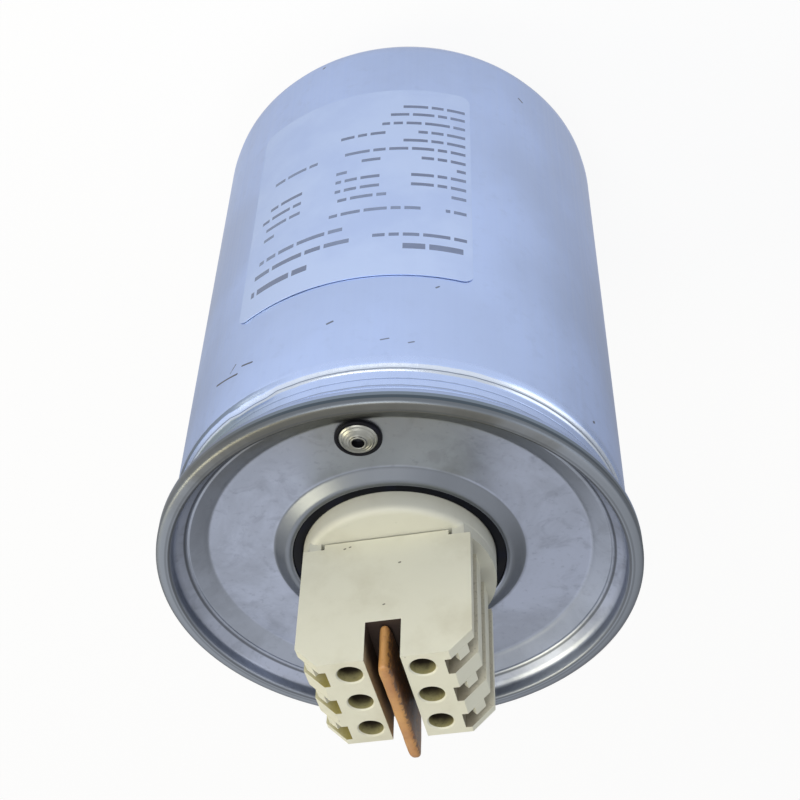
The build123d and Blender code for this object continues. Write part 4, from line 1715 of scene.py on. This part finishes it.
        Bench.carve(piece, Bench.join("drivers", drivers))
        slit_x, slit_y = self.slit
        slits = self.row("slits", (-slit_x, slit_x), slit_y, (low, self.slot_floor + 1), self.phase_ys)
        Bench.carve(piece, slits)
        self.soften(piece, self.soft_edge)
        return piece

    def driver_hole(self, place: Point2, low: float) -> Shape:
        """Model the tool for one screwdriver hole, with its lead-in.

        Args:
            place: The hole's axis, as x and y.
            low: Where the hole ends.

        Returns:
            The tool solid.
        """
        lead = self.driver_radius + self.driver_lead
        points = [
            (0.0, low),
            (self.driver_radius, low),
            (self.driver_radius, self.top - self.driver_lead),
            (lead, self.top),
            (lead, self.top + 2.0),
            (0.0, self.top + 2.0),
        ]
        return Bench.turned("driver", points, closed=False, place=place, steps=40)

    def module(self) -> Shape:
        """Model the lacquered plate with its round tail."""
        half = self.module_half
        piece = Bench.box(
            "module_plate",
            (-half, self.module_front, self.module_low),
            (half, self.module_rear, self.module_top),
        )

        def tail(first: Vector, second: Vector) -> bool:
            """Take the edges across the plate at its rear."""
            return min(first.y, second.y) > self.module_rear - 0.1 and abs(first.x - second.x) > 1

        def nose(first: Vector, second: Vector) -> bool:
            """Take the edges across the plate at its front."""
            return max(first.y, second.y) < self.module_front + 0.1 and abs(first.x - second.x) > 1

        Bench.pick_edges(piece, tail)
        bpy.ops.mesh.bevel(offset=self.module_tail * MM, segments=12)
        Bench.close()
        Bench.pick_edges(piece, nose)
        bpy.ops.mesh.bevel(offset=self.module_corner * MM, segments=6)
        Bench.close()

        def rim(first: Vector, second: Vector) -> bool:
            """Take the outline of both broad sides."""
            return abs(first.x - second.x) < 0.01 and abs(abs(first.x) - half) < 0.01

        Bench.pick_edges(piece, rim)
        bpy.ops.mesh.bevel(offset=self.module_edge * MM, segments=5)
        Bench.close()
        Bench.heal(piece)
        for axis, start, end, step in (
            ((0, 1, 0), self.module_front, self.module_rear, 0.8),
            ((0, 0, 1), self.module_low, self.module_top, 1.0),
        ):
            Bench.edit(piece)
            count = round((end - start) / step)
            for index in range(1, count):
                place = (start + (end - start) * index / count) * MM
                bpy.ops.mesh.select_all(action="SELECT")
                bpy.ops.mesh.bisect(plane_co=[part * place for part in axis], plane_no=axis)
            Bench.close()
        self.flow(piece)
        Bench.heal(piece)
        Bench.smooth(piece, 60.0)
        return piece

    def flow(self, piece: Shape) -> None:
        """Thin the plate's two ends and let its coating stand in slow waves.

        Args:
            piece: The plate, cut into small faces.
        """
        for point in piece.data.vertices:
            place = point.co / MM
            to_tail = max(0.0, (place.y - self.module_rear + self.tail_taper) / self.tail_taper)
            to_nose = max(0.0, (self.module_front + self.nose_taper - place.y) / self.nose_taper)
            thin = (1 - 0.62 * to_tail**2) * (1 - 0.45 * to_nose**2)
            wave = noise.noise(Vector((place.x * 0.3, place.y * 0.22, place.z * 0.22)))
            swell = 1 - self.wave * (0.5 + 0.5 * wave)
            point.co.x = (place.x * thin * swell) * MM
            if place.z > self.module_top - 1.5:
                dip = 0.5 + 0.5 * noise.noise(Vector((5.0, place.y * 0.25, 0.0)))
                point.co.z = (place.z - self.wave * 2.2 * dip) * MM


@dataclass
class Vent(Piece):
    """The sealed filling vent beside the terminals: a rivet on its black ring."""

    place: Point2 = (0.745, -42.69)
    plate_z: float = 155.9
    ring_radius: float = 5.7
    ring_top: float = 156.8
    seat_z: float = 156.4
    head_radius: float = 4.7
    head_edge: float = 0.3
    cone_top: float = 157.8
    ridges: tuple[Point2, ...] = (
        (0.7, 0.28),
        (0.8, 0.22),
        (1.4, 0.50),
        (1.5, 0.44),
        (2.0, 0.80),
        (2.1, 0.76),
    )
    hub_radius: float = 2.0
    hub_top: float = 158.15
    bore_radius: float = 1.5
    bore_depth: float = 4.0
    shank_radius: float = 2.4
    bulb_radius: float = 3.2
    under_z: float = 155.1

    def build(self) -> None:
        """Model the rivet and its ring and put them in the frame."""
        bulb_top = self.under_z - 0.05
        tip = self.under_z - 6.0
        rivet = [
            (0.0, self.hub_top - self.bore_depth),
            (self.bore_radius, self.hub_top - self.bore_depth, 0.4),
            (self.bore_radius, self.hub_top, 0.25),
            (self.hub_radius, self.hub_top, 0.3),
            (self.hub_radius + 0.1, self.cone_top - 0.1, 0.25),
            *((self.hub_radius + out, self.cone_top - down) for out, down in self.ridges),
            (self.head_radius - 0.35, self.seat_z + self.head_edge + 0.25, 0.3),
            (self.head_radius, self.seat_z + self.head_edge - 0.05, 0.3),
            (self.head_radius, self.seat_z),
            (self.shank_radius, self.seat_z),
            (self.shank_radius, bulb_top),
            (self.bulb_radius, bulb_top - 0.8, 0.5),
            (self.bulb_radius, bulb_top - 3.4, 0.5),
            (self.shank_radius, bulb_top - 4.2, 0.5),
            (self.shank_radius, tip, 0.4),
            (0.0, tip),
        ]
        head = Bench.turned("vent_head", Bench.rounded(rivet, 4), False, self.place, 72)
        Bench.smooth(head, 40.0)
        self.dress(head, self.finishes.vent, "vent_metal", ("vent_rivet",))
        self.line(head, self.finishes.vent_bore, self.in_bore)
        self.seal()

    def in_bore(self, middle: Vector, normal: Vector) -> bool:
        """Take the walls and floor of the rivet's bore."""
        reach = math.hypot(middle.x - self.place[0], middle.y - self.place[1])
        return reach < self.bore_radius + 0.05 and middle.z < self.hub_top - 0.35

    def seal(self) -> None:
        """Model the black ring and put it in the frame."""
        inner = self.shank_radius + 0.05
        lip = self.head_radius + 0.05
        ring = [
            (inner, self.plate_z),
            (self.ring_radius, self.plate_z, 0.25),
            (self.ring_radius, self.ring_top, 0.45),
            (lip, self.ring_top, 0.3),
            (lip, self.seat_z),
            (inner, self.seat_z),
        ]
        seal = Bench.turned("vent_seal", Bench.rounded(ring, 4), True, self.place, 72)
        Bench.smooth(seal, 40.0)
        self.dress(seal, self.finishes.vent_ring, "vent_rubber", ("vent_ring",))


@dataclass(frozen=True)
class Field:
    """One plain printed bar on the label."""

    height: float
    start: float
    end: float
    tall: float = 1.3


@dataclass
class RatingLabel(Piece):
    """The silver film label, with plain bars in place of its print."""

    radius: float = 58.25
    thickness: float = 0.12
    low: float = 30.8
    tall: float = 85.0
    right_angle: float = -29.5
    left_angle: float = 34.0
    corner: float = 3.0
    ink: float = 0.015
    fields: tuple[Field, ...] = (
        Field(39.6, -28.0, -9.0),
        Field(43.6, -28.0, -6.0),
        Field(48.0, -28.0, -5.0),
        Field(52.4, -28.0, -15.0),
        Field(52.4, -6.0, 6.5),
        Field(56.6, -28.0, -11.0),
        Field(60.6, -28.0, 5.0),
        Field(65.0, -28.0, -16.0),
        Field(65.0, -5.0, 1.0),
        Field(69.0, -28.0, -25.5),
        Field(69.0, 4.0, 7.0),
        Field(73.0, -28.0, -12.5),
        Field(73.0, -5.0, 7.0),
        Field(77.3, -28.0, -12.5),
        Field(77.3, -5.0, 7.0),
        Field(81.6, -28.0, -24.0),
        Field(81.6, -7.0, 6.0),
        Field(88.0, -28.0, -22.5),
        Field(88.0, -16.0, 8.0),
        Field(72.0, 17.0, 27.5),
        Field(76.4, 17.0, 30.0),
        Field(80.8, 17.0, 30.0),
        Field(85.2, 25.0, 28.5),
        Field(60.6, 13.0, 27.0),
        Field(94.6, 4.0, 29.0, 1.5),
        Field(100.0, 2.0, 30.0, 1.7),
        Field(106.6, 13.0, 30.5, 2.2),
        Field(99.4, -28.0, -4.0, 1.3),
        Field(104.2, -27.0, -11.0, 2.2),
    )
    words: tuple[float, ...] = (5.2, 3.4, 7.0, 4.2, 2.6, 6.1)
    gap: float = 1.0

    def build(self) -> None:
        """Model the film and its bars and put them in the frame."""
        self.dress(self.film(), self.finishes.label, "label_film", ("rating_label",))
        self.dress(self.bars(), self.finishes.ink, "label_film")

    def along(self, angle: float) -> float:
        """Length along the wall to an angle from the front, in millimetres."""
        return math.radians(angle) * self.radius

    def wrap(self, piece: Shape, radius: float) -> None:
        """Wrap a flat sheet in the plane y = 0 round the can.

        Args:
            piece: The sheet, with x along the wall and z up it.
            radius: Where its surface comes to lie.
        """
        for point in piece.data.vertices:
            x, y, _ = on_wall(radius * MM, math.degrees(point.co.x / MM / self.radius), 0.0)
            point.co.x = x
            point.co.y = y

    def sheet(self, name: str, low: Point2, high: Point2) -> Shape:
        """Lay a flat rectangle in the plane y = 0.

        Args:
            name: The object's name.
            low: Its lower corner, as x and z in millimetres.
            high: Its upper corner.

        Returns:
            The rectangle.
        """
        Bench.clear()
        middle = ((low[0] + high[0]) / 2 * MM, 0.0, (low[1] + high[1]) / 2 * MM)
        bpy.ops.mesh.primitive_plane_add(size=1.0, location=middle, rotation=(math.pi / 2, 0, 0))
        piece = bpy.context.object
        piece.name = name
        piece.scale = ((high[0] - low[0]) * MM, (high[1] - low[1]) * MM, 1.0)
        Bench.settle(piece)
        return piece

    def slice(self, piece: Shape, start: float, end: float, step: float) -> None:
        """Cut a flat sheet across at even steps, so that it can bend.

        Args:
            piece: The sheet.
            start: First cut along x, in millimetres.
            end: Where the cuts stop.
            step: Distance between cuts.
        """
        Bench.edit(piece)
        count = max(1, round((end - start) / step))
        for index in range(1, count):
            bpy.ops.mesh.select_all(action="SELECT")
            place = start + (end - start) * index / count
            bpy.ops.mesh.bisect(plane_co=(place * MM, 0, 0), plane_no=(1, 0, 0))
        Bench.close()

    def film(self) -> Shape:
        """Model the label's film with its round corners."""
        right = self.along(self.right_angle)
        left = self.along(self.left_angle)
        piece = self.sheet("label_film", (right, self.low), (left, self.low + self.tall))
        Bench.edit(piece)
        bpy.ops.mesh.bevel(offset=self.corner * MM, segments=8, affect="VERTICES")
        Bench.close()
        self.slice(piece, right, left, 1.4)
        self.wrap(piece, self.radius + self.thickness)
        Bench.apply(piece, "SOLIDIFY", thickness=self.thickness * MM, offset=-1.0)
        Bench.heal(piece)
        Bench.smooth(piece, 30.0)
        return piece

    def bars(self) -> Shape:
        """Model the printed bars, broken into short plain lengths."""
        pieces = []
        turn = 0
        for bar in self.fields:
            place = self.along(bar.start)
            end = self.along(bar.end)
            while place < end - 1.0:
                length = min(self.words[turn % len(self.words)] * bar.tall / 1.3, end - place)
                low = (place, bar.height - bar.tall / 2)
                piece = self.sheet("bar", low, (place + length, bar.height + bar.tall / 2))
                self.slice(piece, place, place + length, 1.6)
                pieces.append(piece)
                place += length + self.gap
                turn += 1
        joined = Bench.join("label_bars", pieces)
        self.wrap(joined, self.radius + self.thickness + self.ink)
        Bench.apply(joined, "SOLIDIFY", thickness=self.ink * MM, offset=-1.0)
        Bench.heal(joined, 0.0005)
        Bench.smooth(joined, 30.0)
        return joined


@dataclass
class CarriedOver(Piece):
    """CAD nodes whose solids are right as they are, each with its own finish."""

    nodes: dict[str, Shape] = field(default_factory=dict)

    def finish_of(self, name: str) -> Optional[bpy.types.Material]:
        """Find a node's finish by its name.

        Args:
            name: The CAD node's name.

        Returns:
            The material, or None where a new piece stands for the node.
        """
        kinds = (
            ("clamp_cage", self.finishes.cage),
            ("clamp_screws", self.finishes.screw),
            ("phase_bar", self.finishes.bar),
            ("module_blade", self.finishes.bar),
            ("rim_seal", self.finishes.seal),
            ("bottom_insulator", self.finishes.board),
            ("liner_sleeve", self.finishes.board),
            ("core_tube", self.finishes.board),
            ("spacer_disc", self.finishes.board),
            ("winding", self.finishes.winding),
            ("phase_lead", self.finishes.copper),
        )
        for start, finish in kinds:
            if name.startswith(start):
                return finish
        return None

    def build(self) -> None:
        """Put a finish on each carried-over node."""
        for name, node in self.nodes.items():
            finish = self.finish_of(name)
            if finish is None:
                continue
            for slot in node.material_slots:
                slot.material = finish
            log.info("%s keeps its CAD solid", name)


@dataclass
class Studio:
    """Floor, world, lamps and the camera at the photograph's angle."""

    floor_z: float = -16.2
    floor_size: float = 4000.0
    mirror_fall: float = 0.62
    floor_fall: Point2 = (-0.22, 0.16)
    world_fall: Point2 = (-0.1, 0.8)
    lens: float = 65.66
    eye: Point3 = (-65.1, -275.7, 397.8)
    right: Point3 = (-0.9772, 0.2112, -0.0222)
    down: Point3 = (0.1383, 0.7124, 0.688)
    forward: Point3 = (0.1611, 0.6692, -0.7254)
    lamps: tuple[tuple[str, Point3, float, float, Colour], ...] = (
        ("key_lamp", (60.0, -900.0, 900.0), 700.0, 6.0, (1.0, 0.98, 0.93)),
        ("warm_lamp", (850.0, -160.0, 820.0), 560.0, 4.8, (1.0, 0.90, 0.60)),
        ("side_lamp", (-1050.0, -250.0, 500.0), 700.0, 1.6, (0.95, 0.97, 1.0)),
        ("back_lamp", (500.0, 900.0, 900.0), 900.0, 1.0, (0.97, 0.98, 1.0)),
    )

    def build(self) -> None:
        """Set the floor, world, lamps, camera and view."""
        self.floor()
        self.world()
        for name, place, size, power, colour in self.lamps:
            self.lamp(name, place, size, power, colour)
        self.camera()
        bpy.context.scene.view_settings.view_transform = "Standard"

    def seen(self, graph: Nodes) -> tuple[Socket, Socket]:
        """Tell what the camera and mirrors see from what gives diffuse light.

        Args:
            graph: The nodes that ask.

        Returns:
            1 for a ray from the camera, a mirror or glass, and 1 for one from a mirror alone.
        """
        path = graph.node("ShaderNodeLightPath")
        seen = graph.math("MAXIMUM", path.outputs["Is Camera Ray"], path.outputs["Is Glossy Ray"])
        seen = graph.math("MAXIMUM", seen, path.outputs["Is Transmission Ray"])
        return seen, path.outputs["Is Glossy Ray"]

    def floor(self) -> None:
        """Lay the pale floor, which keeps the object's shadow."""
        Bench.clear()
        bpy.ops.mesh.primitive_plane_add(size=self.floor_size * MM, location=(0, 0, self.floor_z * MM))
        floor = bpy.context.object
        floor.name = "studio_floor"
        Bench.settle(floor)
        graph = Graph("floor_white")
        graph.set(Base_Color=(0.9, 0.9, 0.9), Roughness=0.9, Specular_IOR_Level=0.0)
        seen, mirrored = self.seen(graph)
        fall = graph.spread(graph.axis_share("Y"), *self.floor_fall, 0.0, self.mirror_fall)
        glow = graph.node("ShaderNodeEmission")
        left = graph.math("SUBTRACT", 1.0, graph.math("MULTIPLY", mirrored, fall))
        graph.join(left, glow.inputs["Strength"])
        blend = graph.node("ShaderNodeMixShader")
        graph.join(graph.math("MULTIPLY", seen, 0.9), blend.inputs[0])
        graph.join(graph.shader.outputs[0], blend.inputs[1])
        graph.join(glow.outputs[0], blend.inputs[2])
        graph.join(blend.outputs[0], graph.output.inputs["Surface"])
        floor.data.materials.append(graph.material)

    def world(self) -> None:
        """Light from all round, a little stronger from the front, on a white background."""
        world = bpy.data.worlds.new("studio_world")
        bpy.context.scene.world = world
        world.use_nodes = True
        graph = Nodes(world.node_tree)
        output = graph.node("ShaderNodeOutputWorld")
        direction = graph.node("ShaderNodeTexCoord").outputs["Generated"]
        split = graph.node("ShaderNodeSeparateXYZ")
        graph.join(direction, split.inputs[0])
        front = graph.spread(split.outputs["Y"], -1.0, 1.0, 1.0, 0.0)
        light = graph.node("ShaderNodeBackground")
        graph.join(graph.mix(front, (0.80, 0.82, 0.86), (0.93, 0.96, 1.0)), light.inputs["Color"])
        graph.join(graph.spread(front, 0.0, 1.0, 0.32, 0.62), light.inputs["Strength"])
        seen, mirrored = self.seen(graph)
        rise = graph.math("MULTIPLY", split.outputs["Z"], 0.6)
        low_back = graph.math("SUBTRACT", split.outputs["Y"], rise)
        fall = graph.spread(low_back, *self.world_fall, 0.0, self.mirror_fall)
        white = graph.node("ShaderNodeBackground")
        white.inputs["Color"].default_value = (1.0, 1.0, 1.0, 1.0)
        left = graph.math("SUBTRACT", 1.0, graph.math("MULTIPLY", mirrored, fall))
        graph.join(left, white.inputs["Strength"])
        blend = graph.node("ShaderNodeMixShader")
        graph.join(seen, blend.inputs[0])
        graph.join(light.outputs[0], blend.inputs[1])
        graph.join(white.outputs[0], blend.inputs[2])
        graph.join(blend.outputs[0], output.inputs["Surface"])

    def lamp(self, name: str, place: Point3, size: float, power: float, colour: Colour) -> None:
        """Hang a square lamp that faces the terminals.

        Args:
            name: The lamp's name.
            place: Where it hangs, in millimetres.
            size: Its side.
            power: Its power in watts.
            colour: Its colour.
        """
        Bench.clear()
        here = Vector(place) * MM
        aim = Vector((0.0, 0.0, 120.0)) * MM - here
        bpy.ops.object.light_add(
            type="AREA", location=here, rotation=aim.to_track_quat("-Z", "Y").to_euler()
        )
        lamp = bpy.context.object
        lamp.name = name
        lamp.data.shape = "SQUARE"
        lamp.data.size = size * MM
        lamp.data.energy = power
        lamp.data.color = colour

    def camera(self) -> None:
        """Put the camera where the photograph was taken from."""
        Bench.clear()
        bpy.ops.object.camera_add()
        camera = bpy.context.object
        camera.name = "photo_camera"
        camera.data.lens = self.lens
        camera.data.sensor_width = 36.0
        camera.data.clip_start = 0.01
        columns = (Vector(self.right), -Vector(self.down), -Vector(self.forward))
        turn = Matrix((columns[0], columns[1], columns[2])).transposed()
        camera.matrix_world = Matrix.Translation(Vector(self.eye) * MM) @ turn.to_4x4()
        bpy.context.scene.camera = camera


def main() -> None:
    """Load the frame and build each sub-assembly."""
    logging.basicConfig(level=logging.INFO, format="%(message)s")
    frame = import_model()
    finishes = Finishes()
    for piece in (
        Can(finishes),
        Stud(finishes),
        Lid(finishes),
        Terminals(finishes),
        Vent(finishes),
        RatingLabel(finishes),
        CarriedOver(finishes, nodes=frame["nodes"]),
    ):
        log.info("building %s", type(piece).__name__)
        piece.build()
    Studio().build()
    Bench.clear()


if __name__ == "__main__":
    main()
